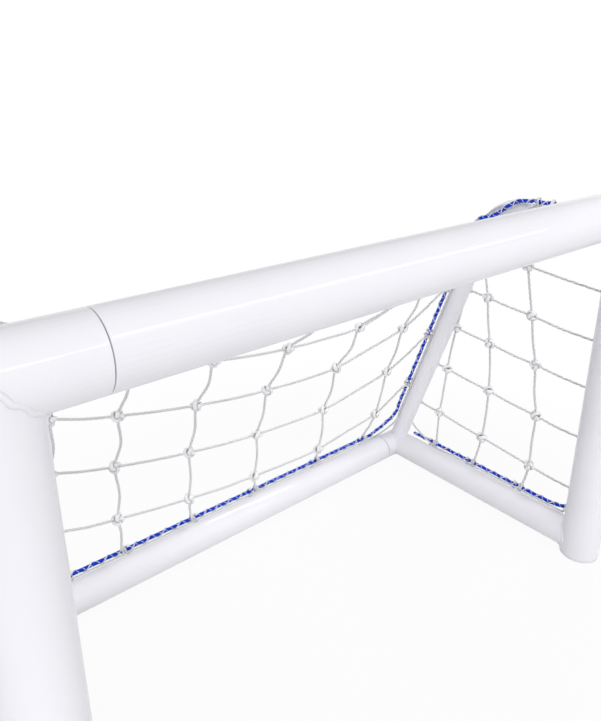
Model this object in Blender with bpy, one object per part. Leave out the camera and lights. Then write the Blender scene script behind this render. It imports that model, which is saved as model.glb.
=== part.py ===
"""Mini soccer goal: white tube frame, knotted net, blue and white border rope, net hooks.

Metres, +Z up. The floor is z = 0, the mouth faces -Y, and x = 0 is the middle of the goal.
The frame comes apart at four push joints, each held by a snap button on a leaf spring.
"""
import math

import bmesh
import bpy
from mathutils import Matrix, Vector

# Frame, outside sizes
GOAL_WIDTH = 1.200
GOAL_HEIGHT = 0.800
GOAL_DEPTH = 0.615

# Tubes: outside diameter and wall
FRONT_OD = 0.0800
FRONT_WALL = 0.0025
GROUND_OD = 0.0635
GROUND_WALL = 0.0020
HOOP_OD = 0.0424
HOOP_WALL = 0.0020
GAP = 0.0003
SPACE_OVERLAP = 0.0001

# The hoop runs back level from just under the front corner, bends once and leans down to
# the rear corner. Depth and drop are those of the point where its two axes would meet.
HOOP_TOP_DEPTH = 0.2935
HOOP_TOP_DROP = 0.0355
HOOP_BEND = 0.097

# Push joints
CROSSBAR_SEAM = 0.090
REAR_SEAM = 0.060
SPIGOT_CLEARANCE = 0.00035
SPIGOT_WALL = 0.0020
SPIGOT_IN_BAR = 0.066
SPIGOT_IN_FRONT_STUB = 0.044
SPIGOT_IN_REAR_STUB = 0.026
BUTTON_FROM_SEAM = 0.032
BUTTON_R = 0.0050
BUTTON_PROUD = 0.0030
BUTTON_HOLE_CLEARANCE = 0.0004
FLANGE_R = 0.0075
FLANGE_THICK = 0.0015
LEAF_WIDTH = 0.0100
LEAF_THICK = 0.0008

# Foot caps
CAP_THICK = 0.0040
CAP_PLUG = 0.0180
CAP_WALL = 0.0030

# Net, rope and hooks, as distances from a tube's outer face
NET_CORD = 0.0050
SELVEDGE_RISE = 0.0033
SELVEDGE_ASIDE = 0.0055
ROPE_R = 0.0045
ROPE_RISE = 0.0111
HOOK_WIDTH = 0.0060
HOOK_INNER = 0.0050
HOOK_OUTER = 0.0070
HOOK_FOOT = 0.0115
HOOK_UNDER = 0.0162
HOOK_TOP = 0.0182
HOOK_LIP = 0.0125
HOOK_ASIDE = 0.0140
ROPE_TURN = math.radians(45)

# Columns of the back net, wider towards the right, where the net hangs tighter
COLUMNS = [GOAL_WIDTH * share for share in (-.3025, -.2017, -.065, .0808, .2425, .3833)]

# Sides of the round pieces
FRONT_SIDES = 40
GROUND_SIDES = 32
HOOP_SIDES = 24
ROPE_SIDES = 8
BEND_STEPS = 10

# Worked out from the sizes above
FRONT_R = FRONT_OD / 2
GROUND_R = GROUND_OD / 2
HOOP_R = HOOP_OD / 2
AXIS_DEPTH = GOAL_DEPTH - FRONT_R - GROUND_R
HOOK_REACH = (GROUND_R + HOOK_TOP + HOOK_OUTER) * math.cos(ROPE_TURN)
Y_FRONT = FRONT_R - (FRONT_R + AXIS_DEPTH + HOOK_REACH) / 2
Y_REAR = Y_FRONT + AXIS_DEPTH
X_POST = GOAL_WIDTH / 2 - FRONT_R
Z_BAR = GOAL_HEIGHT - FRONT_R
Z_GROUND = GROUND_R
Z_RUN = Z_BAR - HOOP_TOP_DROP
HOOP_LEAN = math.atan2(AXIS_DEPTH - HOOP_TOP_DEPTH, Z_RUN - Z_GROUND)
BEND_ANGLE = math.pi / 2 - HOOP_LEAN
BEND_SETBACK = HOOP_BEND * math.tan(BEND_ANGLE / 2)
UPRIGHT_RUN = (Z_RUN - Z_GROUND) / math.cos(HOOP_LEAN) - BEND_SETBACK
BEND_RUN = HOOP_BEND * BEND_ANGLE
HOOP_LENGTH = UPRIGHT_RUN + BEND_RUN + HOOP_TOP_DEPTH - BEND_SETBACK

# Rows of the back net, floor upwards: depth of the free net as a share of AXIS_DEPTH, its
# height as a share of Z_BAR, and the station on the hoop where the row is tied.
# Stations run from 0 at the rear corner to 1 at the foot of the bend, 2 at its end and 3 at
# the crossbar's axis.
BACK_ROWS = [
    (1.0553, 0.0817, 0.303),
    (1.0305, 0.2247, 0.544),
    (0.9527, 0.3911, 0.754),
    (0.8133, 0.5505, 0.954),
    (0.5800, 0.7050, 2.160),
    (0.3310, 0.8500, 2.560),
]
LIFT_RIGHT = GOAL_WIDTH * 0.0879
LIFT_LEFT = GOAL_WIDTH * 0.3400
DRAW_LEFT = GOAL_WIDTH * 0.0295

# Side net: heights of its rows as shares of Z_BAR, and how much they rise towards the hoop.
# Its three columns: foot, head and bow as shares of AXIS_DEPTH, height of the head as a share
# of Z_BAR, and how far the bow sits below the middle.
SIDE_ROWS = [0.193, 0.3645, 0.520, 0.6605, 0.7987]
SIDE_TILT = 0.11
SIDE_TILT_FROM = 0.534
SIDE_COLUMNS = [
    (0.3093, 0.4418, -0.0534, 0.952, 1.0),
    (0.5615, 0.6160, -0.0598, 0.805, 0.3),
    (0.7860, 0.6820, 0.0184, 0.673, 0.0),
]
SIDE_OUT_LOW = 0.0225
SIDE_OUT = HOOP_R + SELVEDGE_RISE
SIDE_LOW = Z_GROUND + math.sqrt((GROUND_R + SELVEDGE_RISE) ** 2 - SIDE_OUT_LOW ** 2)
POST_TIE_DEPTH = math.sqrt((FRONT_R + SELVEDGE_RISE) ** 2 - SIDE_OUT ** 2)
CORNER_REACH = X_POST - FRONT_R * 1.25
ROPE_CORNER = GROUND_R * 2.36

# Hooks: stations on the hoop, shares of AXIS_DEPTH on the side tube, places on the bars
BAR_HOOKS = COLUMNS
HOOP_HOOKS = [0.303, 0.544, 0.754, 0.954, 2.255]
SIDE_HOOKS = [0.324, 0.576, 0.797]
CROSSBAR_HOOKS = [COLUMNS[0], COLUMNS[1], COLUMNS[4], COLUMNS[5]]


def clear_scene():
    for obj in list(bpy.data.objects):
        bpy.data.objects.remove(obj, do_unlink=True)


def material(name, colour, roughness, metallic=0.0):
    """A Principled BSDF material, made once for each name."""
    mat = bpy.data.materials.get(name)
    if mat is None:
        mat = bpy.data.materials.new(name)
        mat.use_nodes = True
        shader = mat.node_tree.nodes["Principled BSDF"]
        shader.inputs["Base Color"].default_value = (*colour, 1.0)
        shader.inputs["Roughness"].default_value = roughness
        shader.inputs["Metallic"].default_value = metallic
    return mat


def powder_coat():
    return material("white_powder_coat", (0.86, 0.86, 0.89), 0.22)


def zinc_steel():
    return material("zinc_plated_steel", (0.55, 0.56, 0.58), 0.35, 1.0)


def spring_steel():
    return material("spring_steel", (0.33, 0.34, 0.36), 0.30, 1.0)


def white_plastic():
    return material("white_plastic", (0.83, 0.83, 0.85), 0.40)


def net_cord():
    return material("white_net_cord", (0.80, 0.80, 0.82), 0.85)


def border_rope():
    return material("blue_white_rope", (0.05, 0.19, 0.66), 0.75)


def new_object(name, bm, mat, parent, location=(0, 0, 0), turn=None):
    """Turn a bmesh into a placed, smooth shaded object."""
    bmesh.ops.recalc_face_normals(bm, faces=bm.faces)
    mesh = bpy.data.meshes.new(name)
    bm.to_mesh(mesh)
    bm.free()
    mesh.shade_smooth()
    mesh.set_sharp_from_angle(angle=math.radians(35))
    mesh.materials.append(mat)
    obj = bpy.data.objects.new(name, mesh)
    bpy.context.collection.objects.link(obj)
    matrix = Matrix.Translation(Vector(location))
    if turn is not None:
        matrix = matrix @ turn.to_4x4()
    obj.parent = parent
    obj.matrix_world = matrix
    return obj


def empty(name, parent=None):
    obj = bpy.data.objects.new(name, None)
    obj.empty_display_size = 0.05
    bpy.context.collection.objects.link(obj)
    obj.parent = parent
    return obj


def loft(bm, rings, closed_ends=True):
    """Join rings of vertices into a skin, with a flat face on each end."""
    count = len(rings[0])
    for low, high in zip(rings, rings[1:]):
        for i in range(count):
            j = (i + 1) % count
            bm.faces.new((low[i], low[j], high[j], high[i]))
    if closed_ends:
        bm.faces.new(list(reversed(rings[0])))
        bm.faces.new(rings[-1])


def annulus(bm, outer, inner):
    """Close one end of a hollow tube."""
    count = len(outer)
    for i in range(count):
        j = (i + 1) % count
        bm.faces.new((outer[i], outer[j], inner[j], inner[i]))


def ring_points(centre, side, up, radius, count):
    step = 2 * math.pi / count
    return [
        centre + side * (radius * math.cos(step * i)) + up * (radius * math.sin(step * i))
        for i in range(count)
    ]


def slide_to_plane(points, direction, plane_point, plane_normal):
    """Move points along a direction onto a mitre plane."""
    fall = direction.dot(plane_normal)
    return [p + direction * ((plane_point - p).dot(plane_normal) / fall) for p in points]


def tube_skin(bm, stations, radius, count, low_cut, high_cut):
    """Rings along stations (centre, side, up); an end is square, or mitred on a plane."""
    rings = []
    for k, (centre, side, up) in enumerate(stations):
        points = ring_points(centre, side, up, radius, count)
        cut = low_cut if k == 0 else high_cut if k == len(stations) - 1 else None
        if cut is not None:
            points = slide_to_plane(points, side.cross(up), Vector(cut[0]), Vector(cut[1]))
        rings.append([bm.verts.new(p) for p in points])
    return rings


def hollow_tube(bm, stations, radius, wall, count, low_cut=None, high_cut=None):
    """A tube with an open bore, or a solid bar when the wall is None."""
    outer = tube_skin(bm, stations, radius, count, low_cut, high_cut)
    if wall is None:
        loft(bm, outer)
        return
    inner = tube_skin(bm, stations, radius - wall, count, low_cut, high_cut)
    loft(bm, outer, closed_ends=False)
    loft(bm, inner, closed_ends=False)
    annulus(bm, outer[0], inner[0])
    annulus(bm, outer[-1], inner[-1])


def straight_tube(name, start, end, up, radius, wall, count, mat, parent,
                  low_plane=None, high_plane=None):
    """A straight tube in its own frame: local Z runs along it from the start."""
    start = Vector(start)
    end = Vector(end)
    along = (end - start).normalized()
    up = Vector(up)
    side = up.cross(along)
    turn = Matrix((side, up, along)).transposed()
    back = turn.transposed()

    def local(plane):
        if plane is None:
            return None
        point, normal = plane
        return back @ (Vector(point) - start), back @ Vector(normal)

    x_axis = Vector((1, 0, 0))
    y_axis = Vector((0, 1, 0))
    top = Vector((0, 0, (end - start).length))
    stations = [(Vector((0, 0, 0)), x_axis, y_axis), (top, x_axis, y_axis)]
    bm = bmesh.new()
    hollow_tube(bm, stations, radius, wall, count, local(low_plane), local(high_plane))
    return new_object(name, bm, mat, parent, start, turn)


def cut_away(target, cutter):
    """Subtract a hidden cutter, such as the neighbouring tube with its gap."""
    cutter.hide_render = True
    cutter.display_type = 'WIRE'
    cut = target.modifiers.new("Cut_" + cutter.name, 'BOOLEAN')
    cut.operation = 'DIFFERENCE'
    cut.solver = 'EXACT'
    cut.object = cutter


def hoop_axis(run):
    """Point (y, z) and outward normal of the hoop's axis, measured from the rear corner."""
    lean = HOOP_LEAN
    straight = min(run, UPRIGHT_RUN)
    y = Y_REAR - straight * math.sin(lean)
    z = Z_GROUND + straight * math.cos(lean)
    turned = min(max(run - UPRIGHT_RUN, 0.0) / HOOP_BEND, BEND_ANGLE)
    y += HOOP_BEND * (math.cos(lean + turned) - math.cos(lean))
    z += HOOP_BEND * (math.sin(lean + turned) - math.sin(lean))
    y -= max(run - UPRIGHT_RUN - BEND_RUN, 0.0)
    return y, z, math.cos(lean + turned), math.sin(lean + turned)


def hoop_run(station):
    """Distance along the hoop's axis of a station."""
    upright = min(station, 1.0) * UPRIGHT_RUN
    bend = min(max(station - 1.0, 0.0), 1.0) * BEND_RUN
    top = max(station - 2.0, 0.0) * (HOOP_TOP_DEPTH - BEND_SETBACK)
    return upright + bend + top


def on_hoop(run, hand, rise, turn, aside=0.0):
    """A point beside the hoop, turned from its outer normal towards the middle of the goal."""
    y, z, ny, nz = hoop_axis(run)
    distance = HOOP_R + rise
    turn = turn + aside / distance
    inward = -hand * distance * math.sin(turn)
    out = distance * math.cos(turn)
    return Vector((hand * X_POST + inward, y + out * ny, z + out * nz))


def on_bar(x, rise, aside=0.0):
    """A point above and behind the rear ground bar."""
    distance = GROUND_R + rise
    turn = ROPE_TURN + aside / distance
    return Vector((x, Y_REAR + distance * math.cos(turn), Z_GROUND + distance * math.sin(turn)))


def on_side(y, hand, rise):
    """A point above and outside a side ground tube."""
    reach = (GROUND_R + rise) * math.sin(ROPE_TURN)
    return Vector((hand * (X_POST + reach), y, Z_GROUND + reach))


def hand_name(hand):
    return "left" if hand < 0 else "right"


def front_corner_plane(hand, shift):
    """Mitre between a post and its crossbar stub; the shift opens half of the gap."""
    normal = Vector((-hand, 0, 1)).normalized()
    return Vector((hand * X_POST, Y_FRONT, Z_BAR)) + normal * shift, normal


def rear_corner_plane(hand, shift):
    """Mitre between a side ground tube and its rear stub."""
    normal = Vector((-hand, 1, 0)).normalized()
    return Vector((hand * X_POST, Y_REAR, Z_GROUND)) + normal * shift, normal


def front_frame(hand, parent):
    """Post, foot cap and corner stub of one side."""
    tag = hand_name(hand)
    x = hand * X_POST
    straight_tube("post_" + tag, (x, Y_FRONT, CAP_THICK + GAP), (x, Y_FRONT, Z_BAR), (0, 1, 0),
                  FRONT_R, FRONT_WALL, FRONT_SIDES, powder_coat(), parent,
                  high_plane=front_corner_plane(hand, -GAP / 2))
    seam = hand * (X_POST - CROSSBAR_SEAM + GAP / 2)
    straight_tube("corner_stub_" + tag, (seam, Y_FRONT, Z_BAR), (x, Y_FRONT, Z_BAR), (0, 0, 1),
                  FRONT_R, FRONT_WALL, FRONT_SIDES, powder_coat(), parent,
                  high_plane=front_corner_plane(hand, GAP / 2))
    foot_cap("foot_cap_" + tag, (x, Y_FRONT, 0), parent)


def foot_cap(name, location, parent):
    """Flat cap under a post, with a cup shaped plug that grips the bore."""
    plug = FRONT_R - FRONT_WALL - GAP
    profile = [
        (FRONT_R, 0.0),
        (FRONT_R, CAP_THICK),
        (plug, CAP_THICK),
        (plug, CAP_THICK + CAP_PLUG),
        (plug - CAP_WALL, CAP_THICK + CAP_PLUG),
        (plug - CAP_WALL, CAP_THICK),
    ]
    bm = bmesh.new()
    x_axis = Vector((1, 0, 0))
    y_axis = Vector((0, 1, 0))
    rings = []
    for radius, height in profile:
        points = ring_points(Vector((0, 0, height)), x_axis, y_axis, radius, FRONT_SIDES)
        rings.append([bm.verts.new(p) for p in points])
    loft(bm, rings)
    return new_object(name, bm, white_plastic(), parent, location)


def ground_frame(hand, parent, cutters):
    """Side ground tube and rear stub of one side."""
    tag = hand_name(hand)
    x = hand * X_POST
    side = straight_tube("side_ground_tube_" + tag, (x, Y_FRONT, Z_GROUND), (x, Y_REAR, Z_GROUND),
                         (0, 0, 1), GROUND_R, GROUND_WALL, GROUND_SIDES, powder_coat(), parent,
                         high_plane=rear_corner_plane(hand, -GAP / 2))
    cut_away(side, cutters["post_space_" + tag])
    seam = hand * (X_POST - REAR_SEAM + GAP / 2)
    straight_tube("rear_stub_" + tag, (seam, Y_REAR, Z_GROUND), (x, Y_REAR, Z_GROUND), (0, 0, 1),
                  GROUND_R, GROUND_WALL, GROUND_SIDES, powder_coat(), parent,
                  high_plane=rear_corner_plane(hand, GAP / 2))


def tube_spaces(hand, parent):
    """Hidden bars, a gap larger than the tubes, that shape the ends of their neighbours."""
    tag = hand_name(hand)
    x = hand * X_POST
    mat = powder_coat()
    inner = hand * (X_POST - 0.12)
    front_r = FRONT_R + GAP
    ground_r = GROUND_R + GAP
    made = [
        straight_tube("post_space_" + tag, (x, Y_FRONT, -0.02), (x, Y_FRONT, Z_BAR), (0, 1, 0),
                      front_r, None, FRONT_SIDES, mat, parent,
                      high_plane=front_corner_plane(hand, SPACE_OVERLAP)),
        straight_tube("stub_space_" + tag, (inner, Y_FRONT, Z_BAR), (x, Y_FRONT, Z_BAR),
                      (0, 0, 1), front_r, None, FRONT_SIDES, mat, parent,
                      high_plane=front_corner_plane(hand, -SPACE_OVERLAP)),
        straight_tube("side_space_" + tag, (x, Y_REAR - 0.12, Z_GROUND), (x, Y_REAR, Z_GROUND),
                      (0, 0, 1), ground_r, None, GROUND_SIDES, mat, parent,
                      high_plane=rear_corner_plane(hand, SPACE_OVERLAP)),
        straight_tube("rear_space_" + tag, (inner, Y_REAR, Z_GROUND), (x, Y_REAR, Z_GROUND),
                      (0, 0, 1), ground_r, None, GROUND_SIDES, mat, parent,
                      high_plane=rear_corner_plane(hand, -SPACE_OVERLAP)),
    ]
    return {obj.name: obj for obj in made}


def hoop(hand, parent, cutters):
    """Upright, bend and top run in one bent tube, coped onto both corners."""
    tag = hand_name(hand)
    x = hand * X_POST
    runs = [0.0]
    runs += [UPRIGHT_RUN + BEND_RUN * k / BEND_STEPS for k in range(BEND_STEPS + 1)]
    runs.append(HOOP_LENGTH)
    side = Vector((1, 0, 0))
    stations = []
    for run in runs:
        y, z, ny, nz = hoop_axis(run)
        stations.append((Vector((x, y, z)), side, Vector((0, ny, nz))))
    bm = bmesh.new()
    hollow_tube(bm, stations, HOOP_R, HOOP_WALL, HOOP_SIDES)
    obj = new_object("rear_hoop_" + tag, bm, powder_coat(), parent)
    for space in ("post_space_", "stub_space_", "side_space_", "rear_space_"):
        cut_away(obj, cutters[space + tag])


def long_bars(parent):
    """Crossbar and rear ground bar between their push joints."""
    end = X_POST - CROSSBAR_SEAM - GAP / 2
    crossbar = straight_tube("crossbar", (-end, Y_FRONT, Z_BAR), (end, Y_FRONT, Z_BAR), (0, 0, 1),
                             FRONT_R, FRONT_WALL, FRONT_SIDES, powder_coat(), parent)
    end = X_POST - REAR_SEAM - GAP / 2
    rear = straight_tube("rear_ground_bar", (-end, Y_REAR, Z_GROUND), (end, Y_REAR, Z_GROUND),
                         (0, 0, 1), GROUND_R, GROUND_WALL, GROUND_SIDES, powder_coat(), parent)
    return crossbar, rear


def push_joint(place, hand, parent, bar):
    """Inner spigot, snap button and leaf spring of one push joint."""
    tag = place + "_" + hand_name(hand)
    if place == "crossbar":
        seam, y, z = X_POST - CROSSBAR_SEAM, Y_FRONT, Z_BAR
        tube_r, wall, sides = FRONT_R, FRONT_WALL, FRONT_SIDES
        outward = Vector((0, 0, -1))
        reach = SPIGOT_IN_FRONT_STUB
    else:
        seam, y, z = X_POST - REAR_SEAM, Y_REAR, Z_GROUND
        tube_r, wall, sides = GROUND_R, GROUND_WALL, GROUND_SIDES
        outward = Vector((0, 1, 0))
        reach = SPIGOT_IN_REAR_STUB
    spigot_r = tube_r - wall - SPIGOT_CLEARANCE
    spigot = straight_tube("spigot_" + tag, (hand * (seam + reach), y, z),
                           (hand * (seam - SPIGOT_IN_BAR), y, z), (0, 0, 1), spigot_r, SPIGOT_WALL,
                           sides, zinc_steel(), parent)
    centre = Vector((hand * (seam - BUTTON_FROM_SEAM), y, z))
    hole = straight_tube("hole_" + tag, centre, centre + outward * (tube_r + 0.01),
                         Vector((1, 0, 0)), BUTTON_R + BUTTON_HOLE_CLEARANCE, None, 16,
                         zinc_steel(), parent)
    cut_away(spigot, hole)
    cut_away(bar, hole)
    snap_button("snap_button_" + tag, centre, outward, tube_r, spigot_r - SPIGOT_WALL, parent)
    leaf_spring("leaf_spring_" + tag, centre, outward, hand, spigot_r - SPIGOT_WALL, parent)


def flange_face(bore_r):
    """Distance of the button flange's outer face from the tube's axis."""
    return math.sqrt(bore_r ** 2 - FLANGE_R ** 2) - GAP


def snap_button(name, centre, outward, tube_r, bore_r, parent):
    """A domed pin with a flange that stops it inside the spigot."""
    face = flange_face(bore_r)
    top = tube_r + BUTTON_PROUD
    profile = [
        (FLANGE_R, face - FLANGE_THICK),
        (FLANGE_R, face),
        (BUTTON_R, face),
        (BUTTON_R, top - 0.0016),
        (BUTTON_R * 0.86, top - 0.0006),
        (BUTTON_R * 0.55, top),
    ]
    up = Vector((1, 0, 0))
    turn = Matrix((up.cross(outward), up, outward)).transposed()
    x_axis = Vector((1, 0, 0))
    y_axis = Vector((0, 1, 0))
    bm = bmesh.new()
    rings = []
    for radius, height in profile:
        points = ring_points(Vector((0, 0, height)), x_axis, y_axis, radius, 16)
        rings.append([bm.verts.new(p) for p in points])
    loft(bm, rings)
    return new_object(name, bm, zinc_steel(), parent, centre, turn)


def strip(bm, path, width_axis, thick_axes, width, thick):
    """A flat bar of constant thickness along a path of points."""
    rings = []
    for point, thick_axis in zip(path, thick_axes):
        half = width_axis * (width / 2)
        down = thick_axis * thick
        corners = [point - half, point + half, point + half - down, point - half - down]
        rings.append([bm.verts.new(p) for p in corners])
    loft(bm, rings)


def leaf_spring(name, centre, outward, hand, bore_r, parent):
    """A bent leaf, fixed to the spigot's wall at one end and under the button at the other."""
    wall_face = math.sqrt(bore_r ** 2 - (LEAF_WIDTH / 2) ** 2) - GAP
    button_face = flange_face(bore_r) - FLANGE_THICK - GAP
    along = Vector((hand, 0, 0))
    width_axis = along.cross(outward)
    steps = [(-0.032, wall_face), (-0.018, wall_face), (-0.009, button_face), (0.008, button_face)]
    path = [along * a + outward * r for a, r in steps]
    bm = bmesh.new()
    strip(bm, path, width_axis, [outward] * len(path), LEAF_WIDTH, LEAF_THICK)
    return new_object(name, bm, spring_steel(), parent, centre)


def rope(name, path, parent):
    """A round rope whose rings turn with the path."""
    bm = bmesh.new()
    tangents = []
    for k in range(len(path)):
        ahead = path[min(k + 1, len(path) - 1)]
        behind = path[max(k - 1, 0)]
        tangents.append((ahead - behind).normalized())
    side = tangents[0].orthogonal().normalized()
    rings = []
    for k, (point, tangent) in enumerate(zip(path, tangents)):
        if k:
            side = tangents[k - 1].rotation_difference(tangent) @ side
        side = (side - tangent * side.dot(tangent)).normalized()
        up = tangent.cross(side)
        points = ring_points(point, side, up, ROPE_R, ROPE_SIDES)
        rings.append([bm.verts.new(p) for p in points])
    loft(bm, rings)
    return new_object(name, bm, border_rope(), parent)


def rope_turn(station):
    """The taut rope cuts the corner of the bend, so it slips to the hoop's inner face there."""
    t = min(max((station - 1.0) / 1.14, 0.0), 1.0)
    return ROPE_TURN + (math.pi / 2 - ROPE_TURN) * math.sin(math.pi * t) ** 2


def back_rope_path():
    """From the left crossbar corner down the hoop, along the rear bar and up the right hoop."""
    stations = [0.14, 0.21, 0.30, 0.55, 0.75, 0.95]
    stations += [1.0 + k / BEND_STEPS for k in range(BEND_STEPS + 1)]
    stations += [2.14, 2.40, 2.60]
    right = [on_hoop(hoop_run(at), 1, ROPE_RISE, rope_turn(at)) for at in stations]
    left = [on_hoop(hoop_run(at), -1, ROPE_RISE, rope_turn(at)) for at in stations]
    reach = X_POST - ROPE_CORNER
    bar = [on_bar(x, ROPE_RISE) for x in (-reach, -reach * 0.94, 0.0, reach * 0.94, reach)]
    return list(reversed(left)) + bar + right


def side_rope_path(hand):
    """Along the side ground tube, round the foot of the post and up behind it."""
    low = on_side(Y_FRONT + FRONT_R * 2.25, hand, ROPE_RISE)
    last = on_side(Y_REAR - GROUND_R * 1.22, hand, ROPE_RISE)
    points = [last, (last + low) / 2]
    post_x = hand * (X_POST + (FRONT_R + ROPE_RISE) * math.sin(math.radians(42)))
    post_y = Y_FRONT + (FRONT_R + ROPE_RISE) * math.cos(math.radians(42))
    high = Vector((post_x, post_y, low.z + FRONT_R * 1.46))
    corner = Vector((post_x, post_y, low.z))
    for k in range(7):
        t = k / 6
        points.append(low * (1 - t) ** 2 + corner * 2 * t * (1 - t) + high * t ** 2)
    points.append(Vector((post_x, post_y, Z_BAR / 2)))
    points.append(Vector((post_x, post_y, Z_BAR - FRONT_R * 1.25)))
    return points


def crossbar_rope_path():
    """Straight behind the crossbar, level with its axis."""
    y = Y_FRONT + FRONT_R + ROPE_RISE
    return [Vector((x, y, Z_BAR)) for x in (-CORNER_REACH, 0.0, CORNER_REACH)]


def net_hook(name, foot, radial, strand_side, along, tube_r, parent):
    """A J shaped plastic hook that holds the rope on a tube, open towards the net."""
    outline = [
        (-HOOK_FOOT, GAP),
        (-HOOK_INNER, GAP),
        (-HOOK_INNER, HOOK_UNDER),
        (HOOK_INNER, HOOK_UNDER),
        (HOOK_INNER, HOOK_LIP),
        (HOOK_OUTER, HOOK_LIP),
        (HOOK_OUTER, HOOK_TOP),
        (-HOOK_OUTER, HOOK_TOP),
        (-HOOK_OUTER, GAP + 0.0020),
        (-HOOK_FOOT, GAP + 0.0020),
    ]
    turn = Matrix((strand_side, along, radial)).transposed()
    bm = bmesh.new()
    rings = []
    for end in (-0.5, 0.5):
        points = [Vector((l, end * HOOK_WIDTH, tube_r + r)) for l, r in outline]
        rings.append([bm.verts.new(p) for p in points])
    loft(bm, rings)
    return new_object(name, bm, white_plastic(), parent, foot, turn)


def bar_hooks(parent):
    up_back = Vector((0, math.cos(ROPE_TURN), math.sin(ROPE_TURN)))
    along = Vector((1, 0, 0))
    strand_side = along.cross(up_back)
    for k, x in enumerate(BAR_HOOKS, 1):
        foot = Vector((x - math.copysign(HOOK_ASIDE, x), Y_REAR, Z_GROUND))
        net_hook(f"net_hook_rear_{k}", foot, up_back, strand_side, along, GROUND_R, parent)


def hoop_hooks(hand, parent):
    for k, station in enumerate(HOOP_HOOKS, 1):
        y, z, ny, nz = hoop_axis(hoop_run(station) + HOOK_ASIDE)
        normal = Vector((0, ny, nz))
        inward = Vector((-hand, 0, 0))
        radial = (normal + inward).normalized()
        strand_side = (inward - normal).normalized()
        along = radial.cross(strand_side)
        foot = Vector((hand * X_POST, y, z))
        net_hook(f"net_hook_hoop_{hand_name(hand)}_{k}", foot, radial, strand_side, along,
                 HOOP_R, parent)


def side_hooks(hand, parent):
    radial = Vector((hand, 0, 1)).normalized()
    strand_side = Vector((-hand, 0, 1)).normalized()
    along = radial.cross(strand_side)
    for k, share in enumerate(SIDE_HOOKS, 1):
        foot = Vector((hand * X_POST, Y_FRONT + share * AXIS_DEPTH + HOOK_ASIDE, Z_GROUND))
        net_hook(f"net_hook_side_{hand_name(hand)}_{k}", foot, radial, strand_side, along,
                 GROUND_R, parent)


def crossbar_hooks(parent):
    radial = Vector((0, 1, 0))
    strand_side = Vector((0, 0, -1))
    along = radial.cross(strand_side)
    for k, x in enumerate(CROSSBAR_HOOKS, 1):
        foot = Vector((x, Y_FRONT, Z_BAR))
        net_hook(f"net_hook_crossbar_{k}", foot, radial, strand_side, along, FRONT_R, parent)


def lattice(name, points, faces, parent):
    """One body of square section cords along the edges of a mesh of cells."""
    bm = bmesh.new()
    verts = {key: bm.verts.new(point) for key, point in points.items()}
    for face in faces:
        bm.faces.new([verts[key] for key in face])
    obj = new_object(name, bm, net_cord(), parent)
    cords = obj.modifiers.new("Cords", 'WIREFRAME')
    cords.thickness = NET_CORD
    cords.use_replace = True
    cords.use_boundary = True
    cords.use_even_offset = False
    cords.offset = 0.0
    return obj


def back_knot(row, x):
    """A knot of the back net: the free curve, drawn up towards the ties on both hoops."""
    depth, height, station = row
    tie = on_hoop(hoop_run(station), 1, SELVEDGE_RISE, ROPE_TURN, SELVEDGE_ASIDE)
    from_right = tie.x - x
    from_left = tie.x + x
    lift = math.exp(-from_right / LIFT_RIGHT) + math.exp(-from_left / LIFT_LEFT)
    draw = math.exp(-from_right / LIFT_RIGHT) + math.exp(-from_left / DRAW_LEFT)
    y = Y_FRONT + depth * AXIS_DEPTH
    z = height * Z_BAR
    return Vector((x, y + (tie.y - y) * draw, z + (tie.z - z) * lift))


def crossbar_tie(x):
    distance = FRONT_R + SELVEDGE_RISE
    turn = math.radians(20)
    return Vector((x, Y_FRONT + distance * math.cos(turn), Z_BAR - distance * math.sin(turn)))


def bend_stations():
    """Stations close enough together to follow the hoop's bend."""
    steps = 8
    return [1.0 + k / steps for k in range(steps + 1)]


def back_net(parent):
    """The curved back panel between crossbar, hoops and rear bar."""
    points = {}
    last = len(COLUMNS) - 1
    top = len(BACK_ROWS)
    for j, x in enumerate(COLUMNS):
        points["bar", j] = on_bar(x, SELVEDGE_RISE, SELVEDGE_ASIDE)
        points["cross", j] = crossbar_tie(x)
        for i, row in enumerate(BACK_ROWS):
            points[i, j] = back_knot(row, x)
    for hand, tag in ((-1, "L"), (1, "R")):
        points["bar", tag] = on_bar(hand * CORNER_REACH, SELVEDGE_RISE, SELVEDGE_ASIDE)
        points["cross", tag] = crossbar_tie(hand * (X_POST - FRONT_R * 1.02))
        stations = {("hoop", tag, "heel"): 0.114}
        stations.update({("hoop", tag, at): at for at in bend_stations()})
        for i, row in enumerate(BACK_ROWS):
            stations[i, tag] = row[2]
        for key, station in stations.items():
            run = hoop_run(station)
            points[key] = on_hoop(run, hand, SELVEDGE_RISE, ROPE_TURN, SELVEDGE_ASIDE)
    faces = []
    for j in range(last):
        faces.append([("bar", j), ("bar", j + 1), (0, j + 1), (0, j)])
        for i in range(top - 1):
            faces.append([(i, j), (i, j + 1), (i + 1, j + 1), (i + 1, j)])
        faces.append([(top - 1, j), (top - 1, j + 1), ("cross", j + 1), ("cross", j)])
    for tag, j in (("L", 0), ("R", last)):
        cells = [[("bar", j), ("bar", tag), ("hoop", tag, "heel"), (0, tag), (0, j)]]
        for i in range(top - 1):
            low, high = BACK_ROWS[i][2], BACK_ROWS[i + 1][2]
            between = [("hoop", tag, at) for at in bend_stations() if low < at < high]
            cells.append([(i, j), (i, tag)] + between + [(i + 1, tag), (i + 1, j)])
        cells.append([(top - 1, j), (top - 1, tag), ("cross", tag), ("cross", j)])
        faces += [cell if tag == "R" else list(reversed(cell)) for cell in cells]
    return lattice("net_back", points, faces, parent)


def side_point(hand, depth, height):
    """A point of a side net's plane, a little nearer the frame at its foot."""
    t = min(max((height - SIDE_LOW) / (GROUND_R * 2.5), 0.0), 1.0)
    out = SIDE_OUT_LOW + (SIDE_OUT - SIDE_OUT_LOW) * t
    return Vector((hand * (X_POST + out), Y_FRONT + depth, height))


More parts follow.
